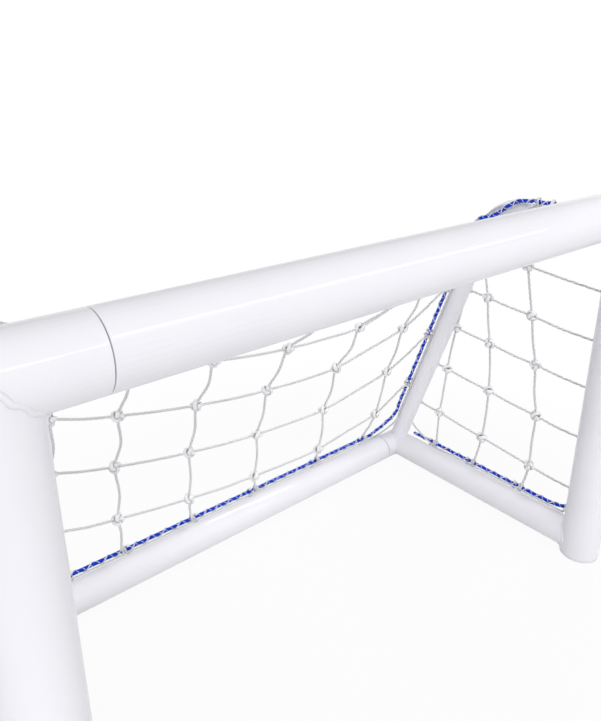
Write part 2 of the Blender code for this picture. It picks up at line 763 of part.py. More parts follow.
def side_row(share, depth):
    """Height of a row of the side net at a depth."""
    return share * Z_BAR + SIDE_TILT * (depth - SIDE_TILT_FROM * AXIS_DEPTH)


def side_knot(hand, share, column):
    """Where a row and a column of the side net cross, found in a few rounds."""
    foot, head, bow, top, skew = column
    height = share * Z_BAR
    for _ in range(4):
        t = (height - SIDE_LOW) / (top * Z_BAR - SIDE_LOW)
        curve = bow * 4 * t * (1 - t) * (1 + skew * (1 - 2 * t))
        depth = (foot + (head - foot) * t + curve) * AXIS_DEPTH
        height = side_row(share, depth)
    return side_point(hand, depth, height)


def side_hoop_point(hand, height):
    """A point of the side net's edge on the outer face of the upright."""
    run = (height - Z_GROUND) / math.cos(HOOP_LEAN)
    return on_hoop(run, hand, SELVEDGE_RISE, -math.pi / 2)


def side_hoop_tie(hand, share):
    """Where a row of the side net meets the upright."""
    fall = math.tan(HOOP_LEAN)
    at_floor = side_row(share, AXIS_DEPTH + Z_GROUND * fall)
    return side_hoop_point(hand, at_floor / (1 + SIDE_TILT * fall))


def side_net(hand, parent):
    """The flat side panel between post, side ground tube and hoop."""
    points = {}
    for c, column in enumerate(SIDE_COLUMNS):
        points["foot", c] = side_point(hand, column[0] * AXIS_DEPTH, SIDE_LOW)
        for r, share in enumerate(SIDE_ROWS):
            points[r, c] = side_knot(hand, share, column)
    for r, share in enumerate(SIDE_ROWS):
        height = side_row(share, POST_TIE_DEPTH)
        points[r, "post"] = side_point(hand, POST_TIE_DEPTH, height)
        points[r, "hoop"] = side_hoop_tie(hand, share)
    points["foot", "post"] = side_point(hand, POST_TIE_DEPTH * 1.27, SIDE_LOW)
    points["foot", "hoop"] = side_point(hand, AXIS_DEPTH - GROUND_R * 2.17, SIDE_LOW)
    points["heel"] = side_hoop_point(hand, Z_GROUND * 3.3)
    points["post_top"] = side_point(hand, POST_TIE_DEPTH, Z_BAR - FRONT_R * 1.475)
    hoop_ties = {"run_front": 2.53, "run_mid": 2.15, "run_c": 1.90}
    hoop_ties.update({("bend", 0): 1.0, ("bend", 1): 1.3, ("bend", 2): 1.6})
    for key, station in hoop_ties.items():
        points[key] = on_hoop(hoop_run(station), hand, SELVEDGE_RISE, -math.pi / 2)
    faces = [
        [("foot", "post"), ("foot", 0), (0, 0), (0, "post")],
        [("foot", 0), ("foot", 1), (0, 1), (0, 0)],
        [("foot", 1), ("foot", 2), (0, 2), (0, 1)],
        [("foot", 2), ("foot", "hoop"), "heel", (0, "hoop"), (0, 2)],
    ]
    for r in (0, 1):
        faces.append([(r, "post"), (r, 0), (r + 1, 0), (r + 1, "post")])
        faces.append([(r, 0), (r, 1), (r + 1, 1), (r + 1, 0)])
        faces.append([(r, 1), (r, 2), (r + 1, 2), (r + 1, 1)])
        faces.append([(r, 2), (r, "hoop"), (r + 1, "hoop"), (r + 1, 2)])
    faces += [
        [(2, "post"), (2, 0), (3, 0), (3, "post")],
        [(2, 0), (2, 1), (3, 1), (3, 0)],
        [(2, 1), (2, 2), (3, "hoop"), (3, 1)],
        [(2, 2), (2, "hoop"), (3, "hoop")],
        [(3, "post"), (3, 0), (4, 0), (4, "post")],
        [(3, 0), (3, 1), (4, "hoop"), (4, 0)],
        [(3, 1), (3, "hoop"), (4, "hoop")],
        [(4, "post"), (4, 0), "run_c", "run_mid", "run_front", "post_top"],
        [(4, 0), (4, "hoop"), ("bend", 0), ("bend", 1), ("bend", 2), "run_c"],
    ]
    used = {key for face in faces for key in face}
    points = {key: point for key, point in points.items() if key in used}
    return lattice("net_" + hand_name(hand), points, faces, parent)


def main():
    clear_scene()
    goal = empty("goal")
    spaces = empty("joint_spaces", goal)
    crossbar, rear = long_bars(goal)
    for hand in (-1, 1):
        cutters = tube_spaces(hand, spaces)
        front_frame(hand, goal)
        ground_frame(hand, goal, cutters)
        hoop(hand, goal, cutters)
        push_joint("crossbar", hand, goal, crossbar)
        push_joint("rear", hand, goal, rear)
        side_net(hand, goal)
        rope("border_rope_" + hand_name(hand), side_rope_path(hand), goal)
        hoop_hooks(hand, goal)
        side_hooks(hand, goal)
    back_net(goal)
    rope("border_rope_back", back_rope_path(), goal)
    rope("border_rope_crossbar", crossbar_rope_path(), goal)
    bar_hooks(goal)
    crossbar_hooks(goal)


main()
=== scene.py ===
"""Looks of the mini soccer goal: painted tubes, welds, knotted net, laid rope, hooks, studio."""
import random
from math import atan2, copysign, cos, exp, hypot, pi, radians, sin, sqrt, tan

import bmesh
import bpy
from bpy.props import FloatProperty, FloatVectorProperty, PointerProperty, StringProperty
from mathutils import Matrix, Vector


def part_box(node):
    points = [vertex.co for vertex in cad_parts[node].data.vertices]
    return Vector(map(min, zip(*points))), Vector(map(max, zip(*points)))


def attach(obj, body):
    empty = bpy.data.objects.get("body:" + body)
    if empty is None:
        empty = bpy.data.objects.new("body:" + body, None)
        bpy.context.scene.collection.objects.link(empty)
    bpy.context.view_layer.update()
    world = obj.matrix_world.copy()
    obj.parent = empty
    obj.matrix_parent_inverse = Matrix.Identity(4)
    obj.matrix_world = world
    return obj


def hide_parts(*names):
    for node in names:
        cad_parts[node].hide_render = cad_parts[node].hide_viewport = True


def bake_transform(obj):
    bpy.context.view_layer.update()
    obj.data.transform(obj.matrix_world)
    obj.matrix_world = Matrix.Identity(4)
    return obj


bl_info = {
    "name": "Mini soccer goal",
    "version": (1, 0, 0),
    "blender": (4, 5, 0),
    "location": "3D View > Sidebar > Goal",
    "description": "Paints and dresses a mini soccer goal with its net, rope, hooks and welds",
    "category": "Object",
}

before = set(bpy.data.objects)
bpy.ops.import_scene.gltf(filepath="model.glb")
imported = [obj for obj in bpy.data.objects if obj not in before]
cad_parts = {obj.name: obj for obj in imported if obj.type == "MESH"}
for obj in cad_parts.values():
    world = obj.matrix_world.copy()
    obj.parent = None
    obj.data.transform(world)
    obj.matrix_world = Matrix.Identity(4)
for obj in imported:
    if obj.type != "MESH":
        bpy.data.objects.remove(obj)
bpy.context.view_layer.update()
BODY = "goal_frame"
HANDS = ((-1, "left"), (1, "right"))
WHITE = (1, 1, 1, 1)
NET_CORD = "twisted_white_net_cord"

# Sizes of the solid model, in metres
FRONT_R = 0.0400
GROUND_R = 0.03175
HOOP_R = 0.0212
X_POST = 0.560
Z_BAR = 0.760
Z_GROUND = GROUND_R
AXIS_DEPTH = 0.54325
HOOK_REACH = (GROUND_R + 0.0182 + 0.0070) * cos(radians(45))
Y_FRONT = FRONT_R - (FRONT_R + AXIS_DEPTH + HOOK_REACH) / 2
Y_REAR = Y_FRONT + AXIS_DEPTH
HOOP_TOP_DEPTH = 0.2935
HOOP_BEND = 0.097
Z_RUN = Z_BAR - 0.0355
HOOP_LEAN = atan2(AXIS_DEPTH - HOOP_TOP_DEPTH, Z_RUN - Z_GROUND)
BEND_ANGLE = pi / 2 - HOOP_LEAN
BEND_SETBACK = HOOP_BEND * tan(BEND_ANGLE / 2)
UPRIGHT_RUN = (Z_RUN - Z_GROUND) / cos(HOOP_LEAN) - BEND_SETBACK
CROSSBAR_SEAM = X_POST - 0.090
REAR_SEAM = X_POST - 0.060

# Where rope and selvedge cords lie on the tubes
ROPE_TURN = radians(45)
POST_TURN = radians(42)
OUTWARD = -pi / 2
ROPE_RISE = 0.0111
SELVEDGE_RISE = 0.0033
SELVEDGE_ASIDE = 0.0055
CORNER_REACH = X_POST - FRONT_R * 1.25
ROPE_CORNER = X_POST - GROUND_R * 2.36
ROPE_STEP = 0.0022
CORD_STEP = 0.0033

# Back net: x of its columns, and for each row the depth and height of its free curve, as
# shares of the frame's, and its station on the hoops
COLUMNS = (-0.3630, -0.2420, -0.0780, 0.0970, 0.2910, 0.4600)
BACK_ROWS = (
    (1.0553, 0.0817, 0.303),
    (1.0305, 0.2247, 0.544),
    (0.9527, 0.3911, 0.754),
    (0.8133, 0.5505, 0.954),
    (0.5800, 0.7050, 2.160),
    (0.3310, 0.8500, 2.560),
)
# How far in from a hoop its ties still lift a row and draw it back
LIFT_RIGHT = 0.1055
LIFT_LEFT = 0.4080
DRAW_LEFT = 0.0354

# Side nets: height share of each row, and for each column the depth shares of its foot and
# head, its bow, the height share of its top, the skew of the bow, and its count of knots
SIDE_ROWS = (0.1930, 0.3645, 0.5200, 0.6605, 0.7987)
SIDE_COLUMNS = (
    (0.3093, 0.4418, -0.0534, 0.952, 1.0, 5),
    (0.5615, 0.6160, -0.0598, 0.805, 0.3, 4),
    (0.7860, 0.6820, 0.0184, 0.673, 0.0, 3),
)
# The rows tilt upwards to the hoop, about a share of the depth, and the net stands out from the
# plane of the tubes' axes, a little less at its foot
SIDE_TILT = 0.11
SIDE_TILT_FROM = 0.534
SIDE_OUT_LOW = 0.0225
SIDE_OUT = HOOP_R + SELVEDGE_RISE
SIDE_LOW = Z_GROUND + sqrt((GROUND_R + SELVEDGE_RISE) ** 2 - SIDE_OUT_LOW ** 2)
POST_TIE_DEPTH = sqrt((FRONT_R + SELVEDGE_RISE) ** 2 - SIDE_OUT ** 2)

# A cord's last turns on the rope: its distance from the rope's middle, how far it moves along
# the rope with each turn, and how far out and up from the turns it comes in
HITCH_REACH = 0.0047
HITCH_ADVANCE = 0.0052
HITCH_OUT = 0.0012
HITCH_UP = 0.0060

# Where its knots are further apart than this span, net cord sags and wanders by a share of the
# distance: in the back net's rows and columns, and in the side nets' rows and columns
SLACK_SPAN = 0.05
BACK_SLACK = (0.022, 0.045)
SIDE_SLACK = (0.020, 0.030)

# A knot: points along its cord, their distance, its cord's thickness against the net's, and
# the most that it leans
KNOT_STEPS = 36
KNOT_STEP = 0.0012
KNOT_SWELL = 1.5
KNOT_LEAN = 0.9

# A weld bead: how uneven its thickness is, its weave from side to side in radii and radians
# per point, how flat it lies, and how far it is ground back at a mitre's outer tip
WELD_UNEVEN = 0.22
WELD_WEAVE = 0.45
WELD_WEAVE_TURN = 1.3
WELD_FLATNESS = 0.7
WELD_TIP_GRIND = 0.0034

# Seams: what counts as on a seam's plane and as on the tube's rim, how far its ends are drawn
# apart, and the distance of a support loop
SEAM_NEAR = 0.0004
RIM_NEAR = 0.0006
SEAM_RELIEF = 0.0006
SEAM_SUPPORT = 0.004

# Distance at which loose triangles are joined, and the rounding of a moulded edge
MERGE_DISTANCE = 0.00003
MOULDED_EDGE = 0.0005

# Net cord has this many plies. A rope has this many strands, the last one white, and its lay
# wanders by these angles, in radians, at these rates per metre
PLIES = 3
STRANDS = 8
LAY_WANDER = ((0.6, 41), (0.4, 97))
LACING_WANDER = ((0.7, 29),)

# The seams of the tubes whose names start so, at plus and minus this x
SEAMS = {
    "crossbar": CROSSBAR_SEAM,
    "corner_stub": CROSSBAR_SEAM,
    "rear_ground_bar": REAR_SEAM,
    "rear_stub": REAR_SEAM,
}
PAINTED_TUBES = ["crossbar", "rear_ground_bar"] + [
    f"{part}_{tag}"
    for part in ("corner_stub", "post", "rear_hoop", "side_ground_tube", "rear_stub")
    for _hand, tag in HANDS
]


# Helpers for geometry

def turns(count):
    """The angles that cut a full turn into equal parts."""
    return [2 * pi * k / count for k in range(count)]


def distances(path):
    """The distance along a path at each of its points."""
    along = [0.0]
    for a, b in zip(path, path[1:]):
        along.append(along[-1] + (b - a).length)
    return along


def hoop_axis(station):
    """Point (y, z) and outward normal of a hoop's axis at a station: 0 is the rear corner, 1
    and 2 the ends of the bend, and 3 the crossbar."""
    upright = min(station, 1.0) * UPRIGHT_RUN
    turned = HOOP_LEAN + min(max(station - 1.0, 0.0), 1.0) * BEND_ANGLE
    top = max(station - 2.0, 0.0) * (HOOP_TOP_DEPTH - BEND_SETBACK)
    y = Y_REAR - upright * sin(HOOP_LEAN) - top
    z = Z_GROUND + upright * cos(HOOP_LEAN)
    y += HOOP_BEND * (cos(turned) - cos(HOOP_LEAN))
    z += HOOP_BEND * (sin(turned) - sin(HOOP_LEAN))
    return y, z, cos(turned), sin(turned)


def rope_turn(station):
    """The taut rope cuts the corner of the bend, on the inner face, up to station 2.14."""
    t = min(max((station - 1.0) / 1.14, 0.0), 1.0)
    return ROPE_TURN + (pi / 2 - ROPE_TURN) * sin(pi * t) ** 2


class Station:
    """A place on a tube where cord is tied: axis point, radial, towards the net, along."""

    def __init__(self, centre, radial, netward, along, tube_r):
        self.centre = Vector(centre)
        self.radial = Vector(radial).normalized()
        self.netward = Vector(netward).normalized()
        self.along = Vector(along).normalized()
        self.tube_r = tube_r

    def at(self, rise):
        return self.centre + self.radial * (self.tube_r + rise)

    def border(self):
        distance = self.tube_r + SELVEDGE_RISE
        turn = SELVEDGE_ASIDE / distance
        spoke = self.radial * cos(turn) + self.netward * sin(turn)
        return self.centre + spoke * distance


def bar_station(x):
    c, s = cos(ROPE_TURN), sin(ROPE_TURN)
    return Station((x, Y_REAR, Z_GROUND), (0, c, s), (0, -s, c), (1, 0, 0), GROUND_R)


def hoop_station(at, hand, turn=None):
    y, z, ny, nz = hoop_axis(at)
    turn = rope_turn(at) if turn is None else turn
    normal = Vector((0, ny, nz))
    inward = Vector((-hand, 0, 0))
    radial = normal * cos(turn) + inward * sin(turn)
    netward = inward * cos(turn) - normal * sin(turn)
    return Station((hand * X_POST, y, z), radial, netward, (0, -nz, ny), HOOP_R)


def side_station(y, hand):
    centre = (hand * X_POST, y, Z_GROUND)
    return Station(centre, (hand, 0, 1), (-hand, 0, 1), (0, 1, 0), GROUND_R)


def post_station(z, hand):
    c, s = cos(POST_TURN), sin(POST_TURN)
    centre = (hand * X_POST, Y_FRONT, z)
    return Station(centre, (hand * s, c, 0), (-hand * c, s, 0), (0, 0, 1), FRONT_R)


def crossbar_station(x):
    return Station((x, Y_FRONT, Z_BAR), (0, 1, 0), (0, 0, -1), (1, 0, 0), FRONT_R)


def smooth_path(points, step):
    """A Catmull-Rom line through the points, cut into pieces of about one step."""
    points = [Vector(p) for p in points]
    line = []
    for k in range(len(points) - 1):
        p1, p2 = points[k], points[k + 1]
        p0 = points[k - 1] if k else p1 * 2 - p2
        p3 = points[k + 2] if k + 2 < len(points) else p2 * 2 - p1
        span = (p2 - p1).length
        pull = span ** 0.5
        d01 = max((p1 - p0).length ** 0.5, 1e-5)
        d23 = max((p3 - p2).length ** 0.5, 1e-5)
        m1 = (p2 - p1) + ((p1 - p0) / d01 - (p2 - p0) / (d01 + pull)) * pull
        m2 = (p2 - p1) + ((p3 - p2) / d23 - (p3 - p1) / (pull + d23)) * pull
        count = max(1, round(span / step))
        for i in range(count):
            t = i / count
            a = (1 + 2 * t) * (1 - t) ** 2
            b = t * (1 - t) ** 2
            c = t * t * (3 - 2 * t)
            d = t * t * (t - 1)
            line.append(p1 * a + m1 * b + p2 * c + m2 * d)
    line.append(points[-1])
    return line


def path_frames(path):
    """Tangent, side and up at each point, turned as little as possible along the path."""
    frames = []
    for k in range(len(path)):
        tangent = (path[min(k + 1, len(path) - 1)] - path[max(k - 1, 0)]).normalized()
        if frames:
            last, side, _up = frames[-1]
            side = last.rotation_difference(tangent) @ side
        else:
            side = tangent.orthogonal().normalized()
        side = (side - tangent * side.dot(tangent)).normalized()
        frames.append((tangent, side, tangent.cross(side)))
    return frames


def add_ring(bm, centre, out, across, radius, sides, flatness=1.0):
    """Vertices round a centre, from the direction out towards the direction across."""
    return [bm.verts.new(centre + out * (radius * cos(a))
                         + across * (radius * flatness * sin(a)))
            for a in turns(sides)]


def add_skin(bm, rings, uv=None, along=None, slot_index=0, closed=False):
    """Smooth faces between rings, or a closed loop of them, and caps on open ends.
    u of the UV map is metres along the rings, and v is turns round them."""
    sides = len(rings[0])
    for k in range(len(rings) if closed else len(rings) - 1):
        low, high = rings[k], rings[(k + 1) % len(rings)]
        for i in range(sides):
            j = (i + 1) % sides
            face = bm.faces.new((low[i], low[j], high[j], high[i]))
            face.material_index = slot_index
            face.smooth = True
            if uv is not None:
                corners = ((k, i), (k, i + 1), (k + 1, i + 1), (k + 1, i))
                for loop, (u, v) in zip(face.loops, corners):
                    loop[uv].uv = (along[u], v / sides)
    if not closed:
        for ring in (list(reversed(rings[0])), rings[-1]):
            bm.faces.new(ring).material_index = slot_index


def add_cord(bm, uv, path, radius, slot_index):
    """A round cord of six sides, a little thinner at its ends."""
    rings = []
    for k, (point, (_tangent, side, up)) in enumerate(zip(path, path_frames(path))):
        r = radius * (0.75 if k in (0, len(path) - 1) else 1.0)
        rings.append(add_ring(bm, point, side, up, r, 6))
    add_skin(bm, rings, uv, distances(path), slot_index)


def add_laid_cord(bm, uv, path, radius, pitch):
    """Plies wound round a path; v of the UV map turns round a ply from its outer side, and the
    cord's material paints shade by it on a ply's inner side.
    """
    half = radius / 2
    slope = half * 2 * pi / pitch
    frames = path_frames(path)
    along = distances(path)
    for ply in range(PLIES):
        rings = []
        for place, point, (tangent, side, up) in zip(along, path, frames):
            a = 2 * pi * (place / pitch + ply / PLIES)
            out = side * cos(a) + up * sin(a)
            lead = (tangent + (up * cos(a) - side * sin(a)) * slope).normalized()
            rings.append(add_ring(bm, point + out * half, out, lead.cross(out), half, 5))
        add_skin(bm, rings, uv, along)


def add_object(name, data):
    obj = bpy.data.objects.new(name, data)
    bpy.context.scene.collection.objects.link(obj)
    return obj


def piece_from(bm, name, materials, replaced=()):
    """Turn a bmesh into a finished piece that stays with the frame."""
    mesh = bpy.data.meshes.new(name)
    bm.to_mesh(mesh)
    bm.free()
    for mat in materials:
        mesh.materials.append(mat)
    finish_piece(add_object(name, mesh), BODY, replaced)


def new_cords():
    """An empty bmesh and its UV layer."""
    bm = bmesh.new()
    return bm, bm.loops.layers.uv.new("UVMap")


def finish_piece(obj, body, replaced=()):
    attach(obj, body)
    if replaced:
        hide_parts(*replaced)


def only(obj):
    """Select one object and make it active."""
    bpy.ops.object.select_all(action='DESELECT')
    obj.select_set(True)
    bpy.context.view_layer.objects.active = obj


def merged_copy(node, finish, mat, angle=30.0, body=BODY):
    """A copy of a solid with its loose triangles joined and its round faces shaded smooth."""
    obj = add_object(f"{node}_{finish}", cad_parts[node].data.copy())
    only(obj)
    # The solid's own flat normals would show as streaks on the round faces
    bpy.ops.mesh.customdata_custom_splitnormals_clear()
    bpy.ops.object.mode_set(mode='EDIT')
    bpy.ops.mesh.select_all(action='SELECT')
    bpy.ops.mesh.remove_doubles(threshold=MERGE_DISTANCE)
    bpy.ops.mesh.select_all(action='DESELECT')
    bpy.ops.object.mode_set(mode='OBJECT')
    bpy.ops.object.shade_smooth_by_angle(angle=radians(angle))
    obj.data.materials.clear()
    obj.data.materials.append(mat)
    finish_piece(obj, body, (node,))
    return obj


# Helpers for materials

def linear(hex_colour):
    """An sRGB hex colour as linear RGBA."""
    text = hex_colour.lstrip("#")
    values = [int(text[i:i + 2], 16) / 255 for i in (0, 2, 4)]
    rgb = [v / 12.92 if v <= 0.04045 else ((v + 0.055) / 1.055) ** 2.4 for v in values]
    return (*rgb, 1.0)


def add_node(tree, kind, inputs=None, **settings):
    """Add a node, set its properties, and give each input a value or another node's output."""
    node = tree.nodes.new(kind)
    for key, value in settings.items():
        setattr(node, key, value)
    for key, value in (inputs or {}).items():
        if isinstance(value, bpy.types.NodeSocket):
            tree.links.new(value, node.inputs[key])
        else:
            node.inputs[key].default_value = value
    return node


def new_material(name, colour, roughness, metallic=0.0, **sockets):
    """A material with its Principled shader set; returns it, its tree and the shader."""
    mat = bpy.data.materials.new(name)
    mat.use_nodes = True
    shader = mat.node_tree.nodes["Principled BSDF"]
    shader.inputs["Base Color"].default_value = linear(colour)
    shader.inputs["Roughness"].default_value = roughness
    shader.inputs["Metallic"].default_value = metallic
    for key, value in sockets.items():
        shader.inputs[key.replace("_", " ")].default_value = value
    return mat, mat.node_tree, shader


def add_grain(tree, shader, vector, scale, detail, strength, depth, tones, share=None):
    """A pattern that raises the surface and mixes two tones, unless a share mixes them."""
    noise = add_node(tree, "ShaderNodeTexNoise",
                     {"Scale": scale, "Detail": detail, "Vector": vector}).outputs["Fac"]
    bump = add_node(tree, "ShaderNodeBump",
                    {"Strength": strength, "Distance": depth, "Height": noise})
    tone = add_node(tree, "ShaderNodeMix",
                    {"A": linear(tones[0]), "B": linear(tones[1]),
                     "Factor": noise if share is None else share}, data_type='RGBA')
    tree.links.new(bump.outputs["Normal"], shader.inputs["Normal"])
    tree.links.new(tone.outputs["Result"], shader.inputs["Base Color"])


def cord_cells(tree, length, count):
    """A cord's UV, and the same in cells of this length, with this count round the cord."""
    coords = add_node(tree, "ShaderNodeUVMap", uv_map="UVMap").outputs["UV"]
    stretch = add_node(tree, "ShaderNodeMapping",
                       {"Scale": (1 / length, count, 1.0), "Vector": coords})
    return coords, stretch.outputs["Vector"]


def powder_coat_paint(settings):
    """Gloss white polyester powder coat: even, with a fine orange peel and a clear shine."""
    mat, tree, shader = new_material("white_powder_coat_paint", settings.paint_hex,
                                     settings.paint_roughness, Coat_Weight=0.45,
                                     Coat_Roughness=0.04, Specular_IOR_Level=0.05)
    place = add_node(tree, "ShaderNodeTexCoord").outputs["Object"]
    # Film thickness drifts over about 80 mm and shifts the tone a little
    drift = add_node(tree, "ShaderNodeTexNoise",
                     {"Scale": 1 / 0.08, "Detail": 1.0, "Vector": place})
    # Orange peel of about 3 mm, drawn a little coarser than the real 1.5 mm so that it shows
    add_grain(tree, shader, place, 1 / 0.003, 2.0, 0.03, 0.0004,
              (settings.paint_hex, settings.paint_shade_hex), drift.outputs["Fac"])
    return mat


def twisted_cord(settings):
    """Laid polypropylene cord: matt white plies, with shade painted in darker where they press
    into each other.
    """
    mat, tree, shader = new_material(NET_CORD, settings.cord_hex, 0.65, Specular_IOR_Level=0.3)
    # Bundles of filaments, 12 round a ply of 10 mm and 3 mm long: coarser than real, to show
    coords, cells = cord_cells(tree, 0.003, 12.0)
    # Painted shade: each ply is coloured darker towards its inner side, by its turn round it in
    # the UV map, where the plies press together
    split = add_node(tree, "ShaderNodeSeparateXYZ", {"Vector": coords})
    angle = add_node(tree, "ShaderNodeMath", {0: split.outputs["Y"], 1: 2 * pi},
                     operation='MULTIPLY')
    outer = add_node(tree, "ShaderNodeMath", {0: angle.outputs[0]}, operation='COSINE')
    painted_shade_share = add_node(tree, "ShaderNodeMapRange",
                      {"From Min": -0.35, "From Max": 0.55, "Value": outer.outputs[0]})
    add_grain(tree, shader, cells, 1.0, 2.0, 0.3, 0.0003,
              (settings.cord_shade_hex, settings.cord_hex), painted_shade_share.outputs["Result"])
    return mat


def fibre_strand(name, colour, shade):
    """Split polypropylene film spun into a strand: matt, with darker streaks along it."""
    mat, tree, shader = new_material(name, colour, 0.6, Specular_IOR_Level=0.2)
    # Ribbons of film about 1 mm wide, 9 round a strand of 9 mm, and 12 mm long
    _coords, cells = cord_cells(tree, 0.012, 9.0)
    add_grain(tree, shader, cells, 1.0, 3.0, 0.5, 0.0004, (shade, colour))
    return mat


def moulded_plastic(settings):
    """Injection moulded white polypropylene: satin, with a fine spark-eroded grain."""
    mat, tree, shader = new_material("moulded_polypropylene", settings.plastic_hex, 0.38,
                                     Subsurface_Weight=0.05)
    place = add_node(tree, "ShaderNodeTexCoord").outputs["Object"]
    # Eroded grain of about 0.6 mm
    add_grain(tree, shader, place, 1 / 0.0006, 2.0, 0.12, 0.0002,
              (settings.plastic_hex, "#DADADF"))
    return mat


def plated_steel(name, colour, roughness, spangle):
    """Zinc plated or rolled steel: bare metal whose gloss is cloudy, in clouds of this size."""
    mat, tree, shader = new_material(name, colour, roughness, 1.0)
    place = add_node(tree, "ShaderNodeTexCoord").outputs["Object"]
    cloud = add_node(tree, "ShaderNodeTexNoise",
                     {"Scale": 1 / spangle, "Detail": 3.0, "Vector": place})
    level = add_node(tree, "ShaderNodeMapRange",
                     {"To Min": roughness - 0.08, "To Max": roughness + 0.12,
                      "Value": cloud.outputs["Fac"]})
    tree.links.new(level.outputs["Result"], shader.inputs["Roughness"])
    return mat


# Settings

class GoalFrameSettings(bpy.types.PropertyGroup):
    paint_hex: StringProperty(
        name="Paint", description="Colour of the powder coat, sRGB hex", default="#F4F3F8")
    paint_shade_hex: StringProperty(
        name="Paint shade", description="Colour where the film is thinner", default="#EFEEF4")
    paint_roughness: FloatProperty(
        name="Paint roughness", description="Roughness under the clear gloss", default=0.30,
        subtype='FACTOR')
    seam_bevel: FloatProperty(
        name="Seam edge", description="Rounding of the tube ends at the push joints",
        default=0.0009, unit='LENGTH')
    weld_radius: FloatProperty(
        name="Weld", description="Radius of the weld beads", default=0.0030, unit='LENGTH')
    plastic_hex: StringProperty(
        name="Plastic", description="Colour of hooks and foot caps", default="#F2F2F5")


class NetSettings(bpy.types.PropertyGroup):
    cord_radius: FloatProperty(
        name="Cord radius", description="Half the net cord's diameter", default=0.0033,
        unit='LENGTH')
    selvedge_radius: FloatProperty(
        name="Border cord radius", description="Half the border cord's diameter",
        default=0.0028, unit='LENGTH')
    knot_radius: FloatProperty(
        name="Knot", description="Radius of a knot's turns", default=0.0055, unit='LENGTH')
    cord_hex: StringProperty(
        name="Cord colour", description="Colour of the net cord", default="#F6F6F8")
    # Painted shade: the colour that stands in for the shade in the twist's grooves
    cord_shade_hex: StringProperty(
        name="Cord grooves", description="Colour in the twist's grooves", default="#98989E")
    twist_pitch: FloatProperty(
        name="Twist", description="Length of one turn of the cord", default=0.014,
        unit='LENGTH')


class RopeSettings(bpy.types.PropertyGroup):
    strand_radius: FloatProperty(
        name="Strand radius", description="Half a strand's diameter", default=0.0015,
        unit='LENGTH')
    lay_radius: FloatProperty(
        name="Lay radius", description="Distance of a strand from the rope's middle",
        default=0.0026, unit='LENGTH')
    pitch: FloatProperty(
        name="Lay", description="Length of one turn of the rope", default=0.014, unit='LENGTH')
    lacing_radius: FloatProperty(
        name="Lacing radius", description="Half the thickness of the cord laced round the rope",
        default=0.0013, unit='LENGTH')
    lacing_pitch: FloatProperty(
        name="Lacing", description="Length of one turn of the lacing", default=0.034,
        unit='LENGTH')
    blue_hex: StringProperty(
        name="Blue", description="Colour of the blue strands", default="#0048E0")
    blue_shade_hex: StringProperty(
        name="Blue shade", description="Darker fibres of the blue strands", default="#0030B2")
    white_hex: StringProperty(
        name="White", description="Colour of the white strand", default="#F2F2F5")


class StudioSettings(bpy.types.PropertyGroup):
    lens: FloatProperty(
        name="Lens", description="Focal length on a 36 mm high sensor, in millimetres",
        default=32.873)
    shift_x: FloatProperty(
        name="Shift X", description="Sideways shift of the frame", default=-0.00193)
    shift_y: FloatProperty(
        name="Shift Y", description="Upward shift of the frame", default=-0.05957)
    camera_place: FloatVectorProperty(
        name="Camera", description="Place of the camera", size=3,
        default=(-0.67039, -0.78908, 0.98394), subtype='TRANSLATION')
    camera_pitch: FloatProperty(
        name="Pitch", description="Downward tilt of the camera",
        default=radians(20.147), subtype='ANGLE')
    camera_yaw: FloatProperty(
        name="Yaw", description="Turn of the camera from +Y towards +X",
        default=radians(39.972), subtype='ANGLE')
    world_strength: FloatProperty(
        name="Sky", description="Strength of the even white surround", default=0.97)
    key_power: FloatProperty(
        name="Key softbox", description="Power of the broad softbox by the camera", default=4.0)
    front_power: FloatProperty(
        name="Front softbox", description="Power of the long softbox above the camera",
        default=17.0)
    low_power: FloatProperty(
        name="Low softbox", description="Power of the low softbox that lifts the rear corner",
        default=0.7)
    rear_power: FloatProperty(
        name="Rear strip", description="Power of the strip that draws the rear bar's line",
        default=1.6)


def settings_of(name):
    return getattr(bpy.context.scene, "goal_" + name)


# The tube frame

def bevel_seam(obj, node, planes, width):
    """Round the outer edge of a tube's end on each plane x = value."""
    low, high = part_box(node)
    if low.z > Z_BAR / 2:
        axis_y, axis_z, radius = Y_FRONT, Z_BAR, FRONT_R
    else:
        axis_y, axis_z, radius = Y_REAR, Z_GROUND, GROUND_R
    only(obj)
    bpy.ops.object.mode_set(mode='EDIT')
    for x in planes:
        for loop_x in (x - SEAM_SUPPORT, x + SEAM_SUPPORT):
            if low.x < loop_x < high.x:
                bpy.ops.mesh.select_all(action='SELECT')
                bpy.ops.mesh.bisect(plane_co=(loop_x, 0, 0), plane_no=(1, 0, 0))
    bm = bmesh.from_edit_mesh(obj.data)
    for edge in bm.edges:
        on_plane = any(all(abs(v.co.x - x) < SEAM_NEAR for v in edge.verts) for x in planes)
        reach = min(hypot(v.co.y - axis_y, v.co.z - axis_z) for v in edge.verts)
        edge.select_set(on_plane and reach > radius - RIM_NEAR)
    for vert in bm.verts:
        for x in planes:
            if abs(vert.co.x - x) < SEAM_NEAR:
                vert.co.x += copysign(SEAM_RELIEF, vert.co.x - x)
    bmesh.update_edit_mesh(obj.data)
    bpy.ops.mesh.bevel(offset=width, segments=3, affect='EDGES')
    bpy.ops.mesh.select_all(action='DESELECT')
    bpy.ops.object.mode_set(mode='OBJECT')
    bpy.ops.object.shade_smooth_by_angle(angle=radians(40))


class GOAL_OT_painted_tubes(bpy.types.Operator):
    """Give every tube its smooth shape, rounded seam edges and powder coat"""
    bl_idname = "goal.painted_tubes"
    bl_label = "Painted tubes"

    def execute(self, context):
        settings = settings_of("frame")
        paint = powder_coat_paint(settings)
        for node in PAINTED_TUBES:
            obj = merged_copy(node, "painted", paint)
            for start, x in SEAMS.items():
                if node.startswith(start):
                    bevel_seam(obj, node, (-x, x), settings.seam_bevel)
        return {'FINISHED'}


